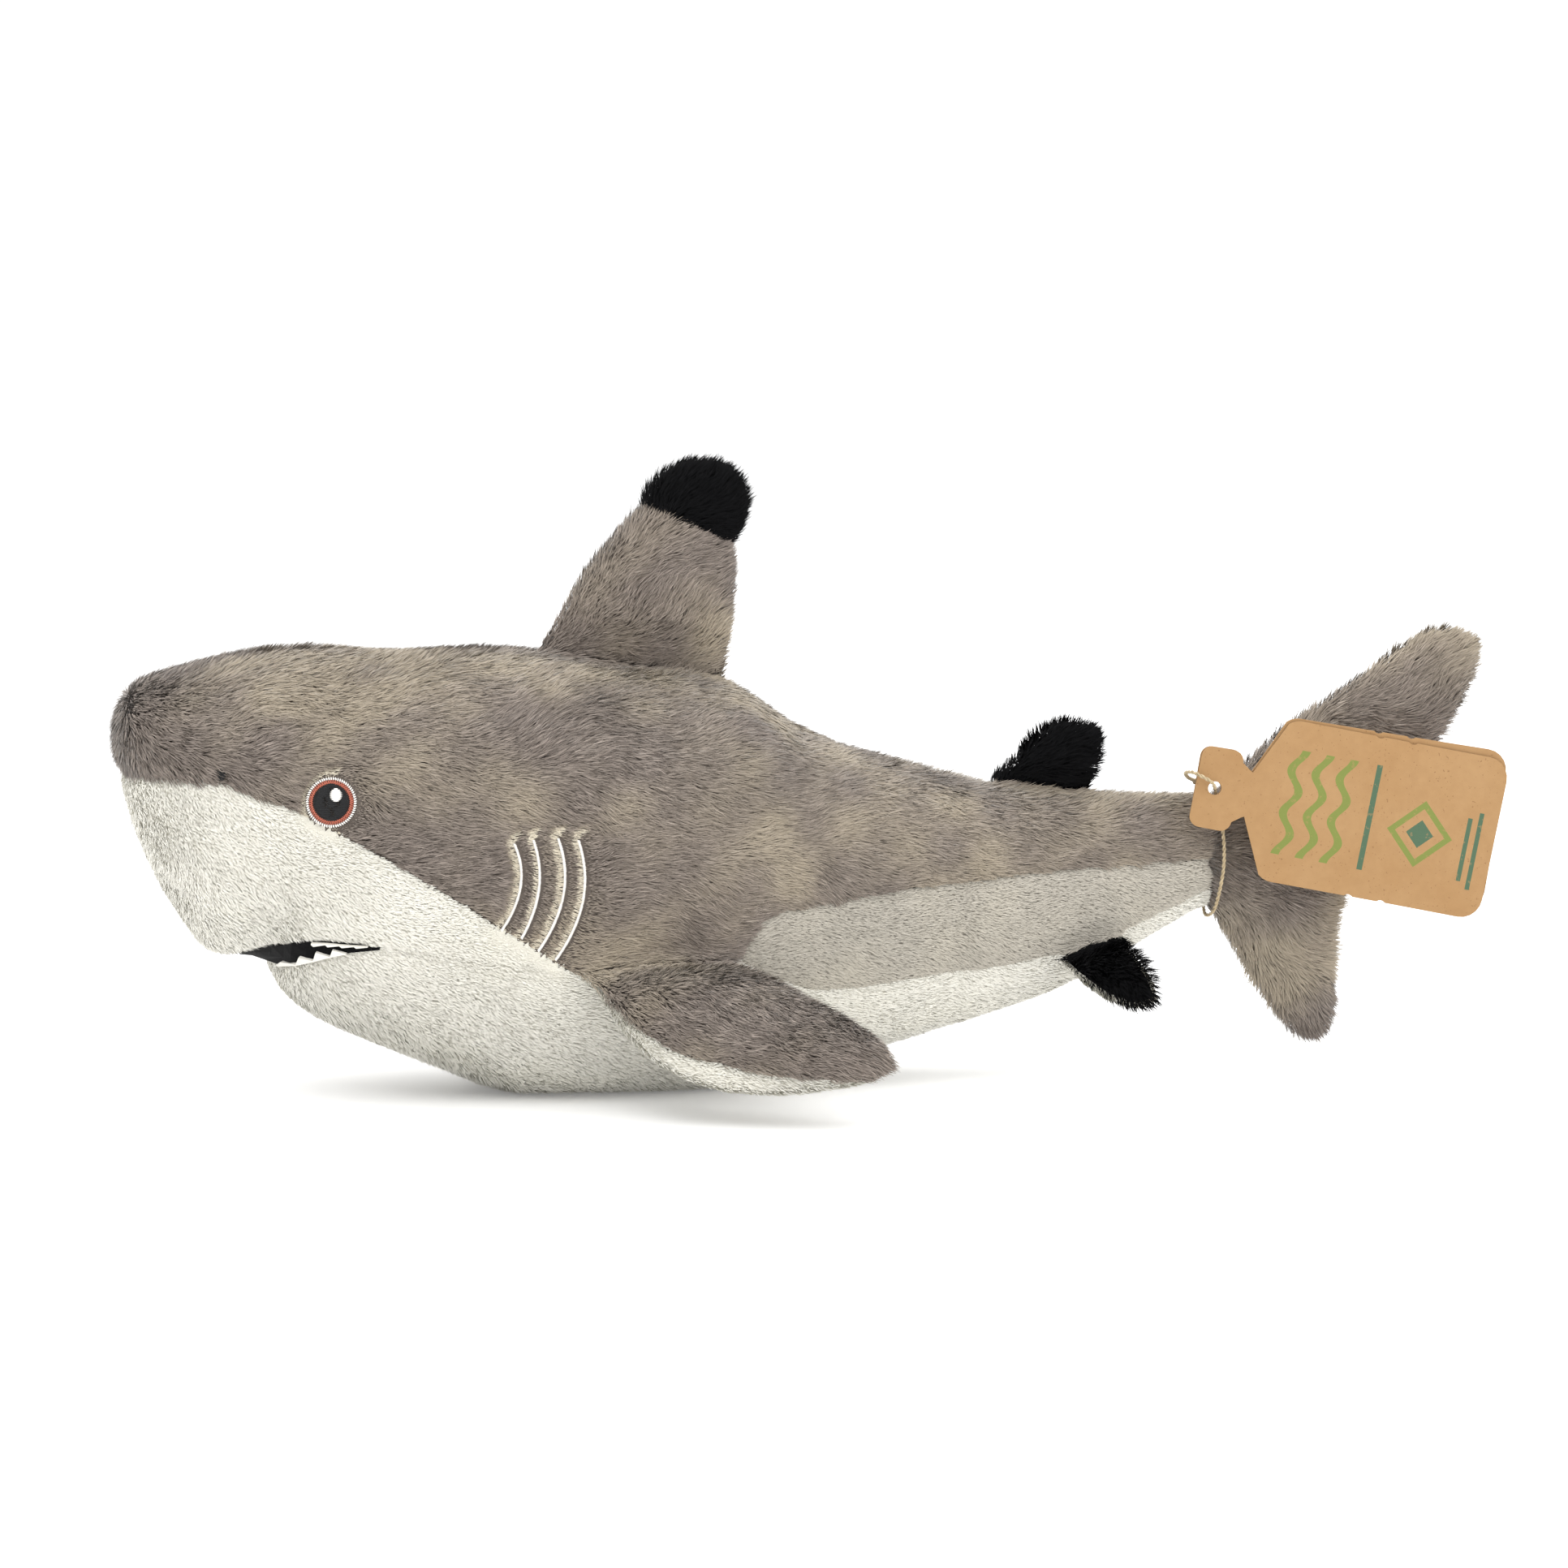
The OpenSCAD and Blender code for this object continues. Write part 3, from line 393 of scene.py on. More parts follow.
# ---- Stuffed shape -----------------------------------------------------------
# The sewn skin over the polyester filling. Body, tail and fins swell together here
# into one rounded surface, which the fabric panels then share out between them.
SKIN_VOXEL = 0.0016
GREY = ["back_panel", "tail_back_panel", "dorsal_panel", "pectoral_top", "caudal_panel"]
BLACK = ["dorsal_tip", "second_dorsal", "pelvic_top"]
PALE = ["flank_panel", "tail_flank_panel"]
IVORY = ["face_panel", "pectoral_underside", "pelvic_underside"]
PANELS = [f"{panel}_{side}" for panel in GREY + BLACK + PALE + IVORY for side in ("left", "right")]
PANELS += ["belly_panel", "tail_belly_panel"]
CORES = ["body_stuffing", "tail_stuffing", "dorsal_stuffing", "second_dorsal_stuffing",
         "caudal_stuffing"]
CORES += [f"{core}_{side}" for core in ("pectoral_stuffing", "pelvic_stuffing")
          for side in ("left", "right")]
ON_TORSO = ["back_panel_left", "back_panel_right", "face_panel_left", "face_panel_right",
            "belly_panel", "flank_panel_left", "flank_panel_right"]


def shell(node):
    """A CAD node's points and triangles."""
    mesh = frame["nodes"][node].data
    points = np.empty(len(mesh.vertices) * 3, np.float32)
    mesh.vertices.foreach_get("co", points)
    return points.reshape(-1, 3).astype(float), [tuple(p.vertices) for p in mesh.polygons]


def hull(points):
    """The closed skin stretched over some points."""
    bm = bmesh.new()
    for p in np.unique(np.round(points, 6), axis=0):
        bm.verts.new(p)
    made = bmesh.ops.convex_hull(bm, input=bm.verts)
    bmesh.ops.delete(bm, geom=list({*made["geom_interior"], *made["geom_unused"]}
                                   & set(bm.verts)), context="VERTS")
    bm.verts.index_update()
    out = np.array([v.co for v in bm.verts]), [tuple(v.index for v in f.verts) for f in bm.faces]
    bm.free()
    return out


def bridge(nodes, low, high):
    """Filling across a joint in the body, from the section at low to the one at high."""
    points = np.vstack([shell(n)[0] for n in nodes])
    return hull(points[(points[:, 0] > low) & (points[:, 0] < high)])


def root_of(joint, nodes):
    """A fin's joint, its pivot, the points of some nodes, and the way out along the fin."""
    hinge = next(j for j in frame["joints"] if j["name"] == joint)
    pivot, axis = np.array(hinge["pos_m"]), unit(np.array(hinge["axis"]))
    points = np.vstack([shell(n)[0] for n in nodes or sewn_core(hinge)])
    out = points.mean(axis=0) - pivot
    return hinge, pivot, points, unit(out - axis * (out @ axis))


def sewn_core(hinge):
    """The filling of the body that a joint carries."""
    return [n for n in frame["record"]["behaviour"]["bodies"][hinge["child"]] if "stuffing" in n]


def rooted(nodes, joint, depth=0.007, band=0.003):
    """Filling from a fin's sewn root down into the body."""
    _, pivot, points, out = root_of(joint, nodes)
    height = (points - pivot) @ out
    root = points[height < height.min() + band]
    return hull(np.vstack([root, root - out * depth]))


def both(*names):
    """The left and right nodes of each name."""
    return [f"{name}_{side}" for name in names for side in ("left", "right")]


body_shells = [n for n in PANELS if n.startswith(("back", "belly", "flank", "tail"))]
parts = [shell(n) for n in PANELS + CORES + ["mouth_lining"]]
parts.append(bridge(body_shells, 0.030, 0.050))
parts.append(bridge([n for n in PANELS if n.startswith(("tail", "caudal"))], 0.106, 0.1165))
parts.append(rooted(both("dorsal_panel"), "dorsal_flex"))
parts.append(rooted(both("second_dorsal"), "second_dorsal_flex", 0.005))
for side in ("left", "right"):
    parts.append(rooted([f"pectoral_top_{side}", f"pectoral_underside_{side}"],
                        f"pectoral_flex_{side}"))
    parts.append(rooted([f"pelvic_top_{side}", f"pelvic_underside_{side}"],
                        f"pelvic_flex_{side}", 0.004))
skin = new_piece("skin", *joined(parts), floor_finish)
bpy.context.view_layer.objects.active = skin
skin.select_set(True)
skin.data.remesh_voxel_size = SKIN_VOXEL
bpy.ops.object.voxel_remesh()
SETTLE_SHARE, SETTLE_ROUNDS = 0.5, 7
smoother = skin.modifiers.new("settle", "SMOOTH")
smoother.factor, smoother.iterations = SETTLE_SHARE, SETTLE_ROUNDS
bpy.ops.object.modifier_apply(modifier=smoother.name)


def corner_table(mesh):
    """Each face's corners, as triangles."""
    mesh.calc_loop_triangles()
    out = np.empty(len(mesh.loop_triangles) * 3, np.int32)
    mesh.loop_triangles.foreach_get("vertices", out)
    return out.reshape(-1, 3)


def vectors(items, name):
    """A mesh's points or directions as rows of three numbers."""
    out = np.empty(len(items) * 3, np.float32)
    items.foreach_get(name, out)
    return out.reshape(-1, 3).astype(float)


skin_at = vectors(skin.data.vertices, "co")
skin_up = vectors(skin.data.vertices, "normal")
skin_corners = corner_table(skin.data)
bpy.data.objects.remove(skin)

# How far each point of the skin is from each panel, so that a seam runs where two
# panels are equally near.
FAR, NEAR_BY = 0.03, 0.012
LABELS = PANELS + ["mouth_lining"]
reach = np.full((len(skin_at), len(LABELS)), FAR)
for k, label in enumerate(LABELS):
    points, faces = shell(label)
    tree = BVHTree.FromPolygons(points.tolist(), faces)
    close = ((skin_at > points.min(0) - NEAR_BY) & (skin_at < points.max(0) + NEAR_BY)).all(1)
    for i in np.flatnonzero(close):
        reach[i, k] = tree.find_nearest(skin_at[i].tolist())[3]
# Past the bend, the tail's panels carry on the torso's: the split is under the pile.
BEND_SPLIT = 0.026
for label in ON_TORSO:
    if label.startswith("face"):
        continue
    k, t = LABELS.index(label), LABELS.index("tail_" + label)
    nearer = np.minimum(reach[:, k], reach[:, t])
    on_tail = skin_at[:, 0] > BEND_SPLIT
    reach[:, k], reach[:, t] = np.where(on_tail, FAR, nearer), np.where(on_tail, nearer, FAR)
order = np.sort(reach, axis=1)
seam_gap = order[:, 1] - order[:, 0]
skin_label = reach.argmin(axis=1)

# ---- Eyes, nostrils and gill lines -------------------------------------------
# Satin stitching, worked on the back panels before they are sewn: an eye of a white
# ring, a brown ring, a black pupil and a white glint, a black nostril, four gills.
GILL_LINES = [
    ((-89.2, 74.1), (-87.9, 64.6), (-88.6, 58.5), (-93, 50.4)),
    ((-84.1, 75), (-82.6, 65.3), (-83.8, 57.5), (-87.6, 48.2)),
    ((-77.5, 75.3), (-76, 66.3), (-77, 57.4), (-82.9, 44.6)),
    ((-71.9, 74.7), (-70.6, 66.3), (-71.7, 55.3), (-78.3, 42)),
]
EYE_AT, NOSTRIL_AT = (-0.138, 0.0855), (-0.167, 0.0926)
RING_R, IRIS_R, PUPIL_R, GLINT_R = 0.0069, 0.0061, 0.0050, 0.00175

cover_points, cover_faces = joined([shell(n) for n in both("back_panel", "face_panel")])
body_cover = BVHTree.FromPolygons(cover_points.tolist(), cover_faces)


def on_side(x, z, side):
    """The body's surface and its outward direction at a height on one side."""
    hit, normal, _, _ = body_cover.ray_cast((x, side * 0.2, z), (0, -side, 0))
    normal = np.array(normal)
    return np.array(hit), normal * np.sign(normal[1] * side)


bpy.ops.mesh.primitive_uv_sphere_add(segments=8, ring_count=4, radius=1)
stitch = bpy.context.object
STITCH_POINTS = vectors(stitch.data.vertices, "co")
STITCH_FACES = [tuple(p.vertices) for p in stitch.data.polygons]
bpy.data.objects.remove(stitch)


def embroider(name, stitches, finish, node):
    """One mesh of satin stitches, each from a to b, with a width, a height and an up."""
    parts = []
    for a, b, width, height, up in stitches:
        along = (b - a) / 2
        across = unit(np.cross(up, along)) * width / 2
        rise = unit(np.cross(along, across)) * height / 2
        parts.append(((a + b) / 2 + STITCH_POINTS @ np.array([along, across, rise]), STITCH_FACES))
    piece = new_piece(name, *joined(parts), finish.material)
    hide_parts(node)
    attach(piece, "torso")


def thread(name, dark, light, roughness=0.38, specular=0.5):
    """Embroidery thread: lustrous, with fine fibres."""
    made = Finish(name, roughness, 0.1, Specular_IOR_Level=specular)
    made.colour(made.mix(made.noise(1400, 3), paint(dark), paint(light)))
    made.bump(made.noise(5200, 2), 0.4, 0.0001)
    return made


white_thread = thread("white_thread", "dcd8d0", "fbf9f5")
brown_thread = thread("brown_thread", "8a3d28", "b9634a")
black_thread = thread("black_thread", "020203", "0c0c0e", 0.5, 0.3)
eyes, gill_points, nostrils = [], [], []
rng = np.random.default_rng(11)
for side, hand in ((-1, "left"), (1, "right")):
    centre, out = on_side(*EYE_AT, side)
    back = unit(np.array((1.0, 0, 0)) - out * out[0])
    up = np.cross(out, back) * -side
    up = up if up[2] > 0 else -up
    eyes.append(centre)

    def on_eye(x, y, lift=0.0):
        dome = 0.0007 * (1 - (x * x + y * y) / RING_R**2)
        return centre + back * x + up * y + out * (dome + lift - 0.0006)

    def ring(inner, outer, count, slant, width, lift, teeth=0.0):
        rows = []
        for i in range(count):
            a = 2 * math.pi * (i + rng.uniform(-0.15, 0.15)) / count
            b = a + slant * (-1) ** i
            edge = outer - teeth * (i % 2)
            rows.append((on_eye(inner * math.cos(a), inner * math.sin(a), lift),
                         on_eye(edge * math.cos(b), edge * math.sin(b), lift),
                         width, 0.0005, out))
        return rows

    def rows_of(middle, radius, gap, lift, width):
        rows = []
        for y in np.arange(-radius + gap / 2, radius, gap):
            half = math.sqrt(radius**2 - y**2)
            cuts = np.linspace(-half, half, max(2, int(half / 0.0016) + 1))
            cuts[1:-1] += rng.uniform(-0.0005, 0.0005, len(cuts) - 2)
            for p, q in zip(cuts[:-1], cuts[1:]):
                rows.append((on_eye(middle[0] + p - 0.0001, middle[1] + y, lift),
                             on_eye(middle[0] + q + 0.0001, middle[1] + y, lift), width, 0.0004, out))
        return rows

    embroider(f"eye_ring_stitches_{hand}", ring(IRIS_R - 0.0001, RING_R, 132, 0.05, 0.00038, 0.0, 0.00028),
              white_thread, f"eye_outline_{hand}")
    embroider(f"eye_iris_stitches_{hand}",
              ring(PUPIL_R - 0.0002, IRIS_R, 118, 0.12, 0.00036, 0.0001),
              brown_thread, f"eye_iris_{hand}")
    embroider(f"eye_pupil_stitches_{hand}", rows_of((0, 0), PUPIL_R, 0.00036, 0.0002, 0.00046),
              black_thread, f"eye_pupil_{hand}")
    embroider(f"eye_glint_stitches_{hand}",
              rows_of((0.0013, 0.0019), GLINT_R, 0.00036, 0.00045, 0.00044),
              white_thread, f"eye_glint_{hand}")

    place, out = on_side(*NOSTRIL_AT, side)
    nostrils.append(place)
    across = unit(np.array((1.0, 0, 0.15)) - out * out[0])
    down = np.cross(out, across)
    dots = []
    for y in np.arange(-0.0014, 0.0015, 0.00035):
        half = math.sqrt(max(0.0016**2 - y**2, 1e-9))
        dots.append((place + down * y - across * half, place + down * y + across * half,
                     0.0005, 0.0006, out))
    embroider(f"nostril_stitches_{hand}", dots, black_thread, f"nostril_{hand}")

    bars = []
    for line in GILL_LINES:
        heights = np.linspace(line[0][1], line[-1][1], 37)
        arc = np.polyval(np.polyfit([z for _, z in line], [x for x, _ in line], 2), heights)
        route = np.stack([arc, 0 * arc, heights], 1) / 1000
        seen = [on_side(x, z, side) for x, _, z in route]
        facing = unit(np.polyval(np.polyfit(heights, np.array([n for _, n in seen]), 2), heights[:, None]))
        route = np.array([p for p, _ in seen]) - 0.0011 * facing
        route[:, 1] = np.polyval(np.polyfit(heights, route[:, 1], 3), heights)
        gill_points.append(route)
        length = np.concatenate([[0], np.cumsum(np.linalg.norm(np.diff(route, axis=0), axis=1))])
        for s in np.arange(0, length[-1], 0.00034):
            p = np.array([np.interp(s, length, route[:, i]) for i in range(3)])
            q = np.array([np.interp(s + 0.0005, length, route[:, i]) for i in range(3)])
            n = facing[int(np.interp(s, length, np.arange(len(route))))]
            run = unit(q - p + 1e-9)
            half = np.cross(n, run) * rng.uniform(0.00040, 0.00052) + run * 0.00022
            bars.append((p - half, p + half, 0.00042, 0.0009, n))
    embroider(f"gill_satin_{hand}", bars, white_thread, f"gill_stitches_{hand}")
eyes, nostrils, gill_points = np.array(eyes), np.array(nostrils), np.vstack(gill_points)


def distance(points, places):
    """From each point to the nearest of some places."""
    out = np.full(len(points), FAR)
    near = ((points > places.min(0) - NEAR_BY) & (points < places.max(0) + NEAR_BY)).all(1)
    for i in np.array_split(np.flatnonzero(near), max(1, near.sum() // 4000)):
        if len(i):
            out[i] = np.minimum(FAR, np.linalg.norm(points[i][:, None] - places[None], axis=2).min(1))
    return out


def distance_each(points, places):
    """The same, for a few places that are far apart."""
    return np.minimum.reduce([distance(points, p[None]) for p in places])


# The skin lies under the pile: deep below long pile, shallow below short pile and
# stitching, and drawn in along the seams.
DEPTH = np.array([0.0020 if n.startswith(tuple(GREY + BLACK)) else 0.0010 for n in PANELS] + [0.0014])
weights = np.exp(-(reach - reach.min(axis=1, keepdims=True)) / 0.0009)
depth = (weights * DEPTH).sum(1) / weights.sum(1)
pressed = np.clip(1 - (distance_each(skin_at, eyes) - 0.0072) / 0.002, 0, 1)
pressed = np.maximum(pressed, np.clip(1 - (distance(skin_at, gill_points) - 0.001) / 0.003, 0, 1))
depth += (0.0014 - depth) * pressed
depth += 0.0007 * np.exp(-(seam_gap / 0.0016) ** 2) * (order[:, 1] < 0.004)
skin_in = skin_at - skin_up * depth[:, None]
skin_in[:, 2] = np.maximum(skin_in[:, 2], 0.0006)

# ---- Pile --------------------------------------------------------------------
# Plush fabric: each panel is a knitted backing with fibres standing out of it, which
# lean towards the tail in soft tufts. Long on the back and fins, short underneath.
def ripple(points, length, seed):
    """A smooth wandering number from about -1 to 1, with this wavelength."""
    rng = np.random.default_rng(seed)
    total = np.zeros(len(points))
    for _ in range(6):
        k = unit(rng.normal(size=3)) * 2 * math.pi / length * rng.uniform(0.7, 1.4)
        total += np.sin(points @ k + rng.uniform(0, 2 * math.pi))
    return total / 2.4


def scattered(cells, seed):
    """Two repeatable numbers from -1 to 1 for each cell of a grid."""
    h = (cells[:, 0] * 73856093 ^ cells[:, 1] * 19349663 ^ cells[:, 2] * 83492791) + seed * 2654435761
    h = (h ^ (h >> 13)) * 1274126177 & 0xFFFFFFFF
    h ^= h >> 16
    return (h & 0xFFFF) / 32767.5 - 1, (h >> 16 & 0xFFFF) / 32767.5 - 1


def trimmed(points):
    """How much of its length the pile keeps beside the stitching of eyes, nostrils and gills: 0 is none."""
    keep = np.ones(len(points))
    for places, bare, full in ((eyes, 0.0067, 0.0125), (nostrils, 0.0010, 0.0032)):
        keep = np.minimum(keep, (distance_each(points, places) - bare) / (full - bare))
    gill = (distance(points, gill_points) - 0.0008) / 0.0085
    keep = np.minimum(keep, np.where(gill < 0, 0, 0.24 + gill))
    keep[keep < 0.02] = 0
    return np.clip(keep, 0, 1)


def flat_sheen(points):
    """How much painted sheen the pile takes where it lies flat just ahead of each gill line and eye: 1 is
    most.
    """
    light = np.zeros(len(points))
    for places, bare, full in ((gill_points, 0.0008, 0.0064), (eyes, 0.0068, 0.0118)):
        near = np.flatnonzero(distance(points, places) < full)
        for i in np.array_split(near, max(1, len(near) // 4000)):
            if len(i):
                gap = points[i][:, None] - places[None]
                length = np.linalg.norm(gap, axis=2)
                k = length.argmin(1)
                ahead = gap[np.arange(len(i)), k, 0] < 0.2 * length[np.arange(len(i)), k]
                fall = 1 - (length.min(1) - bare) / (full - bare)
                light[i] = np.maximum(light[i], np.where(ahead, np.clip(fall * 1.8, 0, 1), 0))
    return light


def swept(points, label):
    """The way that the pile is brushed."""
    hand = -1.0 if label.endswith("left") else 1.0
    out = np.zeros_like(points)
    if label.startswith("dorsal") or label.startswith("second"):
        out += (0.75, 0, 0.62)
    elif label.startswith("pectoral"):
        out += (0.78, 0.55 * hand, -0.25)
    elif label.startswith("pelvic"):
        out += (0.72, 0.45 * hand, -0.5)
    elif label.startswith("caudal"):
        out += unit(points - np.array((0.088, 0, 0.066)))
    else:
        out += (1.0, 0, -0.16)
        out[:, 2] -= 0.5 * np.clip((-0.12 - points[:, 0]) / 0.07, 0, 1)
    return out


SHARED_SEAM, SEAM_FADE = 0.0012, 0.004
ROOT_SUNK, OFF_FLOOR = 0.0002, 0.0002


def sown(k, rng, per_mm2):
    """The fibres' roots on panel k, the way out, and how full the pile is near a trim and a seam."""
    gap = (reach[:, k] - order[:, 0])[skin_corners]
    triangles = skin_corners[gap.min(1) < SHARED_SEAM]
    a, b, c = (skin_in[triangles[:, i]] for i in range(3))
    area = np.linalg.norm(np.cross(b - a, c - a), axis=1) / 2
    counts = np.floor(area * per_mm2 * 1e6 + rng.random(len(area))).astype(int)
    which = np.repeat(np.arange(len(triangles)), counts)
    r, s = np.sqrt(rng.random(len(which))), rng.random(len(which))
    share = np.stack([1 - r, r * (1 - s), r * s], 1)[:, :, None]
    corners = triangles[which]
    near = (reach[corners] * share).sum(1)
    own = near.argmin(1) == k
    corners, share = corners[own], share[own]
    root = (skin_in[corners] * share).sum(1)
    out = unit((skin_up[corners] * share).sum(1))
    keep = trimmed(root)
    short = np.sort(near[own], axis=1)
    edge = np.clip((short[:, 1] - short[:, 0]) / SEAM_FADE, 0, 1)
    growing = keep > 0
    return root[growing], out[growing], keep[growing], edge[growing]


def brushed(root, out, label, rng, tuft, swirl):
    """The way the fibres lie along the cloth, the way across it, and two numbers for each tuft."""
    n, k = len(root), LABELS.index(label)
    flow = swept(root, label)
    flow -= out * (flow * out).sum(1, keepdims=True)
    flow = unit(flow + 1e-4 * rng.normal(size=(n, 3)))
    aside = np.cross(out, flow)
    cells = np.floor(root / tuft + 0.35 * np.stack([ripple(root, 0.006, 5 + i) for i in range(3)], 1))
    one, two = scattered(cells.astype(np.int64), k)
    turn = swirl * (0.55 * ripple(root, 0.034, 1) + 0.35 * ripple(root, 0.011, 2) + 0.30 * one)
    turn = turn + rng.normal(0, 0.16, n)
    flow, aside = (flow * np.cos(turn)[:, None] + aside * np.sin(turn)[:, None],
                   aside * np.cos(turn)[:, None] - flow * np.sin(turn)[:, None])
    return flow, aside, one, two


def dyed(root, out, label, rng, one, two):
    """Each fibre's shade, its place from root to tip, and how much painted sheen and painted light it takes.
    """
    n = len(root)
    shade = np.clip(0.42 + 0.22 * rng.normal(size=n) + 0.14 * one + 0.08 * two, 0, 1)
    # One fibre in twenty is painted at the lightest shade: painted highlights, glints of light on single
    # fibres.
    shade[rng.random(n) < 0.05] = 1
    # painted_light is painted sheen and light: lighter mottled patches where the nap turns, as painted
    # sheen.
    painted_light = 0.34 + 0.28 * ripple(root, 0.050, 6) + 0.2 * ripple(root, 0.019, 7)
    # On the back panels the pile is painted lighter towards the tail and where it faces up, as painted light
    # from above.
    if "back" in label:
        painted_light += 0.34 * np.clip((root[:, 0] + 0.04) / 0.07, 0, 1) + 0.3 * np.clip(out[:, 2] * 2.5 - 1.5, 0, 1)
    # More painted sheen on the tail fin.
    if label.startswith("caudal"):
        painted_light += 0.2
    # Less painted sheen towards the nose.
    painted_light -= 0.5 * np.clip((-0.150 - root[:, 0]) / 0.03, 0, 1)
    painted_light = np.clip(painted_light, 0, 0.85)
    # Ahead of the gill lines and eyes the flattened pile is painted lighter, as painted sheen.
    painted_light = np.maximum(painted_light, flat_sheen(root))
    colour = np.ones((n, 4, 4))
    colour[:, :, 0] = shade[:, None]
    colour[:, :, 1] = (0.0, 0.5, 0.5, 1.0)
    colour[:, :, 2] = painted_light[:, None]
    return colour


def charted(backing, n):
    """A map for baking: the backing in a strip along the top, each fibre in a cell below it."""
    span = np.maximum(np.ptp(backing, axis=0), 1e-6)
    lie = (backing - backing.min(0)) / span
    strip = np.stack([lie[:, 0] * 0.98 + 0.01, 0.91 + 0.08 * (0.6 * lie[:, 2] + 0.4 * lie[:, 1])], 1)
    across = int(math.ceil(math.sqrt(max(n, 1))))
    cell = np.stack([np.arange(n) % across, np.arange(n) // across], 1)[:, None, :]
    spot = np.array([(0.08, 0.5), (0.5, 0.08), (0.5, 0.92), (0.92, 0.5)])[None]
    return np.vstack([strip, ((cell + spot) / across * (1, 0.9)).reshape(-1, 2)])


def pile(label, finish, body, length, lean, per_mm2, width, tuft, swirl, calm=1.0, bend=None):
    """One panel: its share of the skin, with its fibres."""
    k = LABELS.index(label)
    rng = np.random.default_rng(100 + k)
    root, out, keep, edge = sown(k, rng, per_mm2)
    n = len(root)
    flow, aside, one, two = brushed(root, out, label, rng, tuft, swirl)
    tilt = lean + 0.16 * ripple(root, 0.040, 3) + 0.10 * two + rng.normal(0, 0.10, n)
    tilt = np.clip(tilt + 0.25 * (1 - keep), 0.15, 1.45)
    reach_out = length * keep * (0.75 + 0.25 * edge) * rng.uniform(0.72, 1.12, n)
    reach_out = reach_out * (1 + 0.12 * two)

    def pointing(angle):
        return out * np.cos(angle)[:, None] + flow * np.sin(angle)[:, None]

    low, high = pointing(tilt * 0.72), pointing(np.minimum(tilt * 1.22, 1.5))
    middle = root + low * (reach_out * 0.5)[:, None]
    tip = middle + high * (reach_out * 0.5)[:, None]
    twist = rng.uniform(-0.75, 0.75, n)
    face = np.cross(low, aside)
    flat = (aside * np.cos(twist)[:, None] + face * np.sin(twist)[:, None]) * (
        width * rng.uniform(0.7, 1.25, n) * (0.55 + 0.45 * keep) / 2)[:, None]
    left, right = middle - flat, middle + flat
    root = root - out * ROOT_SUNK
    fibre = np.stack([root, left, right, tip], 1)
    fibre[:, :, 2] = np.maximum(fibre[:, :, 2], OFF_FLOOR)

    colour = dyed(root, out, label, rng, one, two)

    # The backing is the panel's own share of the skin.
    mine = skin_label[skin_corners]
    held = skin_corners[(mine == k).sum(1) >= 2]
    used, held = np.unique(held, return_inverse=True)
    held = held.reshape(-1, 3)
    backing = skin_in[used]
    points = np.vstack([backing, fibre.reshape(-1, 3)])
    first = len(backing) + 4 * np.arange(n)[:, None]
    blades = np.hstack([first, first + 1, first + 2, first + 1, first + 3, first + 2]).reshape(-1, 3)
    faces = np.vstack([held, blades])

    mesh = bpy.data.meshes.new(label + "_pile")
    mesh.vertices.add(len(points))
    mesh.vertices.foreach_set("co", points.astype(np.float32).ravel())
    mesh.loops.add(faces.size)
    mesh.loops.foreach_set("vertex_index", faces.astype(np.int32).ravel())
    mesh.polygons.add(len(faces))
    mesh.polygons.foreach_set("loop_start", np.arange(0, faces.size, 3, dtype=np.int32))
    mesh.polygons.foreach_set("use_smooth", np.ones(len(faces), bool))
    mesh.update(calc_edges=True)

    stored = mesh.attributes.new("pile", "FLOAT_COLOR", "POINT")
    base = np.tile((0.5, 0.0, 0.5, 1.0), (len(backing), 1))
    stored.data.foreach_set("color", np.vstack([base, colour.reshape(-1, 4)]).astype(np.float32).ravel())
    chart = charted(backing, n)
    mesh.uv_layers.new(name="OFBake").data.foreach_set(
        "uv", chart[faces.ravel()].astype(np.float32).ravel())

    soft = np.repeat((out + 0.42 * calm * flow * rng.uniform(-0.2, 1.0, (n, 1))
                      + 0.32 * calm * aside * rng.normal(0, 1, (n, 1)))[:, None], 4, axis=1)
    mesh.normals_split_custom_set_from_vertices(unit(np.vstack([skin_up[used], soft.reshape(-1, 3)])))
    mesh.materials.append(finish.material)
    panel = bpy.data.objects.new(label + "_pile", mesh)
    bpy.context.scene.collection.objects.link(panel)
    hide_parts(label)
    if bend:
        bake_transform(panel)
    else:
        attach(panel, body)
    return panel


def plush(slot, root, dark, light, lit_colour, roughness, sheen, contrast=1.0, specular=0.4, pressed=None):
    """Colour of a pile: darker towards its roots as painted shade deep in the pile, and lighter as painted
    sheen and light, mottled where the nap turns.
    """
    made = Finish(slot, roughness, sheen, Specular_IOR_Level=specular)
    stored = made.node("Attribute", {"attribute_name": "pile"}, {}, "Color")
    parts = [made.node("SeparateColor", {}, [stored], i) for i in range(3)]
    shade, along, painted_light = parts
    body = made.mix(shade * contrast + (0.5 - 0.5 * contrast), paint(dark), paint(light))
    # Painted sheen and light: the lit colour over the pile where painted_light is high.
    body = made.mix(painted_light * painted_light, body, paint(lit_colour))
    # Painted shade deep in the pile: the root colour, darkest at the roots.
    body = made.mix(along * 1.25 + 0.12, paint(root), body)
    if pressed:
        # The pressed colour is the lightest painted sheen, on the flattened pile ahead of the gills and
        # eyes.
        body = made.mix((painted_light - 0.86) * 7, body, paint(pressed))
    made.colour(body)
    made.bump(made.noise(2400, 2), 0.25, 0.0002)
    return made


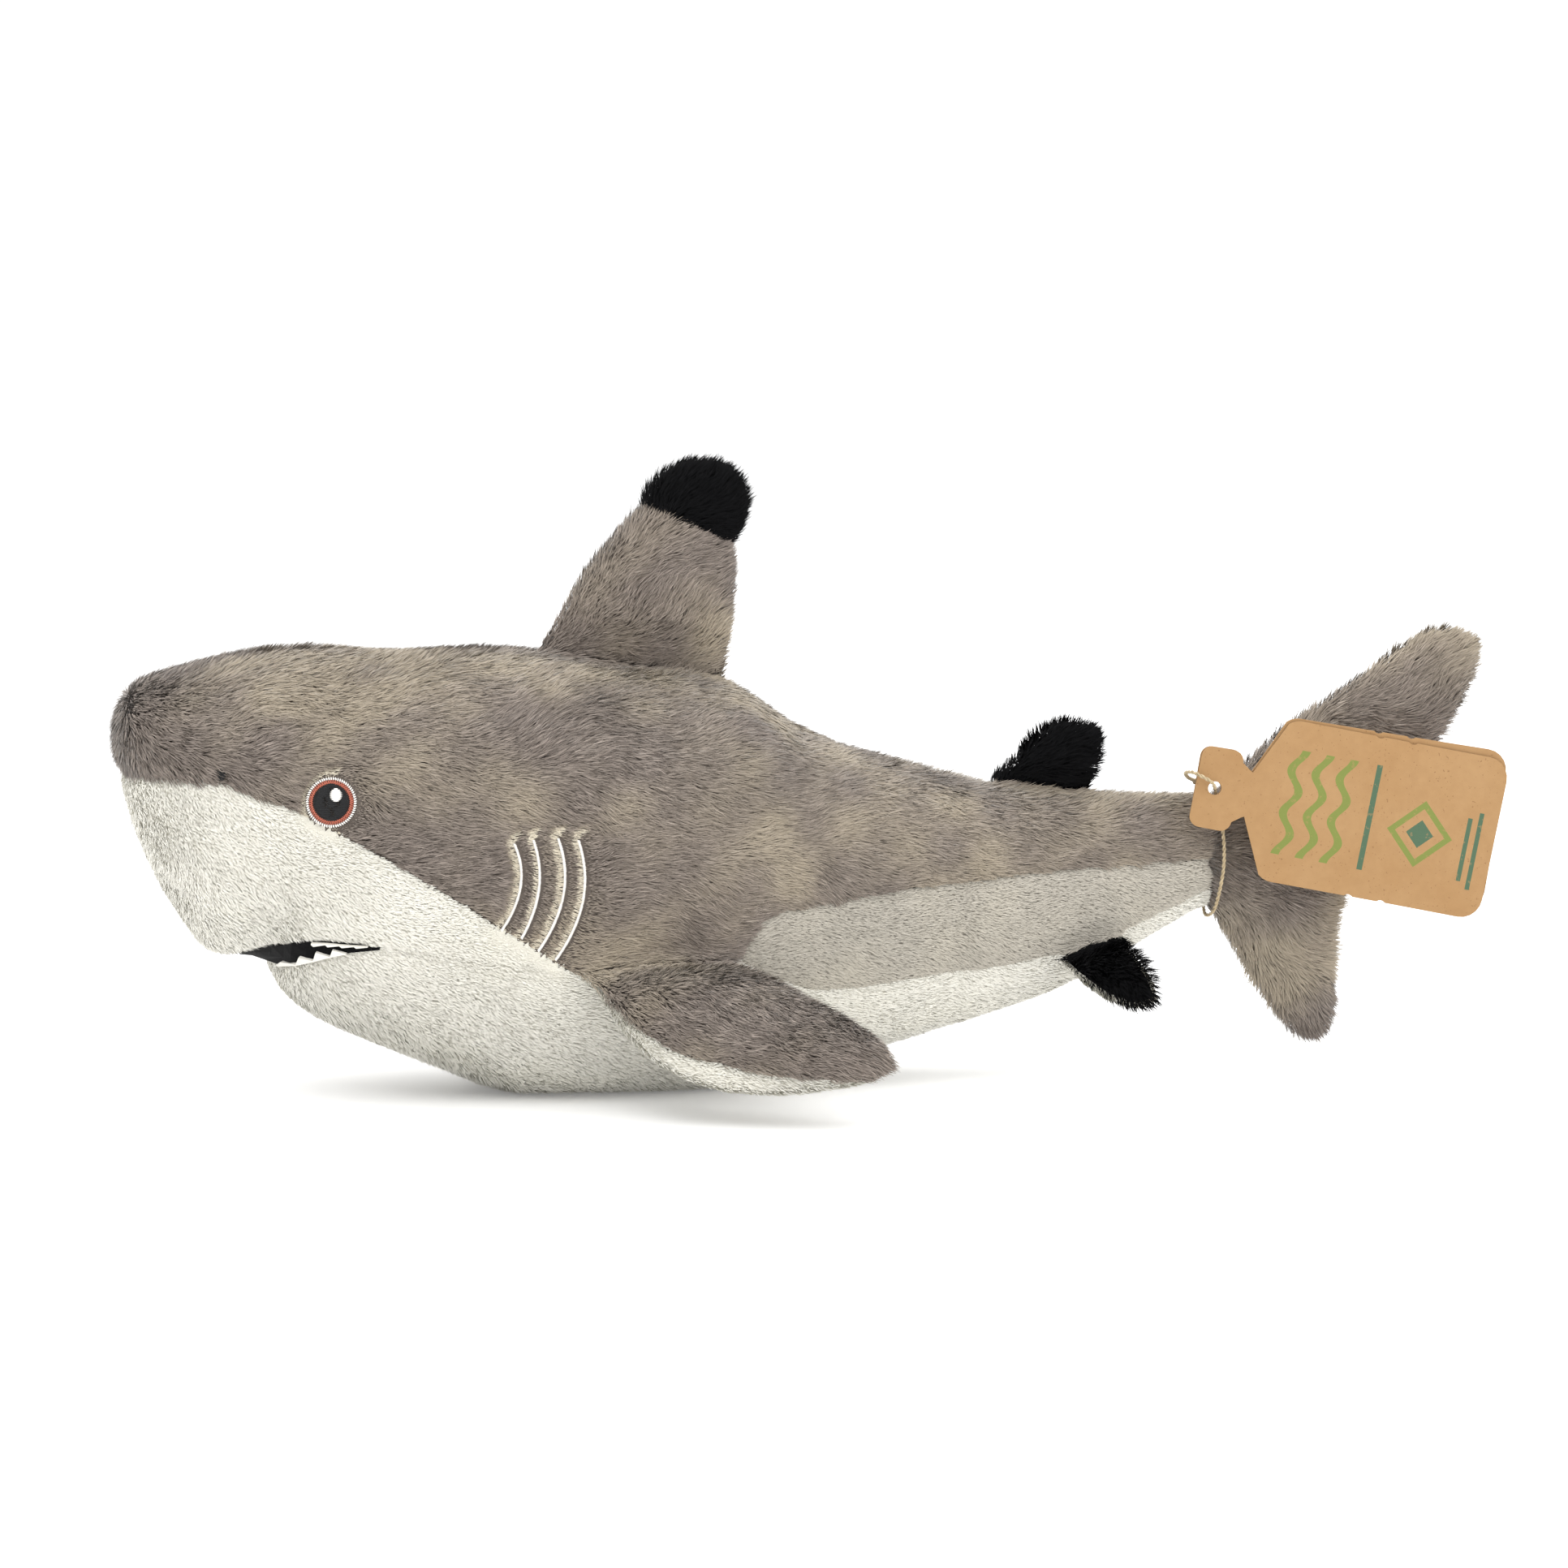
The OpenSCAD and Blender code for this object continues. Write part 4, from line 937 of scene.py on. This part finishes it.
# Each pile's colours: at the roots (painted shade), the dark and light tones, the lit colour (painted sheen
# and light) and, for grey, the pressed colour (painted sheen of flattened pile).
grey_pile = plush("grey_pile", "4b423c", "61574f", "a0948a", "b5a892", 0.75, 0.25, pressed="d9cfba")
black_pile = plush("black_pile", "020203", "040405", "0c0c0e", "070708", 0.8, 0.0, specular=0.12)
ivory_pile = plush("ivory_pile", "e3e0d4", "e6e3d8", "f2f0e7", "efece0", 0.9, 0.2, 0.6)
pale_pile = plush("pale_pile", "aaa498", "ada79b", "c6c0b4", "c9c2b2", 0.85, 0.2, 0.9)
LONG = {"length": 0.0056, "lean": 1.05, "per_mm2": 7.4, "width": 0.00029, "tuft": 0.0024,
        "swirl": 0.5}
SHORT = {"length": 0.0025, "lean": 1.0, "per_mm2": 7.4, "width": 0.00030, "tuft": 0.0016,
         "swirl": 0.3, "calm": 0.3}
SHAGGY = {"length": 0.0064, "lean": 0.80, "per_mm2": 7.0, "width": 0.00034, "tuft": 0.0024,
          "swirl": 0.7}

for label in both("back_panel"):
    pile(label, grey_pile, "torso", **LONG)
for label in both("face_panel") + ["belly_panel"]:
    pile(label, ivory_pile, "torso", **SHORT)
for label in both("flank_panel"):
    pile(label, pale_pile, "torso", **SHORT)


def across_joint(joint, start, end):
    """The parent body, the child body and the two points between which a fin's root bends."""
    hinge, pivot, _, out = root_of(joint, None)
    return hinge["parent"], (hinge["child"], tuple(pivot + out * start), tuple(pivot + out * end))


TAIL = ("torso", ("tail_base", (0.026, 0, 0.06), (0.054, 0, 0.06)))
TAIL_FIN = ("tail_base", ("tail_fin", (0.112, 0, 0.063), (0.130, 0, 0.063)))
for panel, finish, style in (("tail_back_panel", grey_pile, LONG), ("tail_flank_panel", pale_pile, SHORT)):
    for label in both(panel):
        pile(label, finish, TAIL[0], bend=TAIL[1], **style)
pile("tail_belly_panel", ivory_pile, TAIL[0], bend=TAIL[1], **SHORT)
for label in both("caudal_panel"):
    pile(label, grey_pile, TAIL_FIN[0], bend=TAIL_FIN[1], **SHAGGY)
for panel, finish, style in (("dorsal_panel", grey_pile, LONG), ("dorsal_tip", black_pile, SHAGGY)):
    for label in both(panel):
        body, bend = across_joint("dorsal_flex", 0.001, 0.014)
        pile(label, finish, body, bend=bend, **style)
for label in both("second_dorsal"):
    body, bend = across_joint("second_dorsal_flex", 0.001, 0.008)
    pile(label, black_pile, body, bend=bend, **SHAGGY)
for hand in ("left", "right"):
    for fin, top in (("pectoral", grey_pile), ("pelvic", black_pile)):
        body, bend = across_joint(f"{fin}_flex_{hand}", 0.001, 0.014 if fin == "pectoral" else 0.008)
        pile(f"{fin}_top_{hand}", top, body, bend=bend, **(LONG if fin == "pectoral" else SHAGGY))
        pile(f"{fin}_underside_{hand}", ivory_pile, body, bend=bend, **SHORT)

# ---- Mouth -------------------------------------------------------------------
# A slit between face and belly, backed with black felt. A strip of white felt cut
# into teeth is sewn along each lip.
def felt(name, dark, light, specular=0.3):
    """Pressed wool felt: matt, with a matted grain."""
    made = Finish(name, 0.95, 0.05, Specular_IOR_Level=specular)
    made.colour(made.mix(made.noise(1800, 4), paint(dark), paint(light)))
    made.bump(made.noise(3000, 3), 0.5, 0.0003)
    return made


black_felt, white_felt = felt("black_felt", "030304", "0a0a0b", 0.1), felt("white_felt", "d6d3ca", "ebe8e0")


def felt_piece(name, node, finish, lift, width):
    """The felt as cut, its edges softened, lying in the fabric's surface."""
    points, faces = shell(node)
    piece = new_piece(name, points, faces, finish.material, smooth=False)
    bm = bmesh.new()
    bm.from_mesh(piece.data)
    bmesh.ops.remove_doubles(bm, verts=bm.verts, dist=1e-6)
    out = {}
    for v in bm.verts:
        out[v] = Vector((0, v.co.y, v.co.z - 0.062)).normalized()
    for v, n in out.items():
        v.co += n * lift
    bm.to_mesh(piece.data)
    bm.free()
    bevel = piece.modifiers.new("soft_edges", "BEVEL")
    bevel.width, bevel.segments, bevel.angle_limit = width, 2, math.radians(35)
    bpy.context.view_layer.objects.active = piece
    bpy.ops.object.modifier_apply(modifier=bevel.name)
    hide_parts(node)
    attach(piece, "torso")
    return piece


felt_piece("mouth_felt", "mouth_lining", black_felt, 0.0008, 0.0002)
felt_piece("upper_teeth_felt", "upper_teeth", white_felt, 0.0006, 0.0001)
felt_piece("lower_teeth_felt", "lower_teeth", white_felt, 0.0006, 0.0001)

# ---- Filling -----------------------------------------------------------------
# The loose filling is wholly inside the sewn skin, so the skin's panels stand for it.
for panel, cores in (("back_panel_left", ["body_stuffing"]), ("tail_back_panel_left", ["tail_stuffing"]),
                     ("dorsal_panel_left", ["dorsal_stuffing"]),
                     ("second_dorsal_left", ["second_dorsal_stuffing"]),
                     ("caudal_panel_left", ["caudal_stuffing"]),
                     ("pectoral_top_left", ["pectoral_stuffing_left"]),
                     ("pectoral_top_right", ["pectoral_stuffing_right"]),
                     ("pelvic_top_left", ["pelvic_stuffing_left"]),
                     ("pelvic_top_right", ["pelvic_stuffing_right"])):
    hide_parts(*cores)
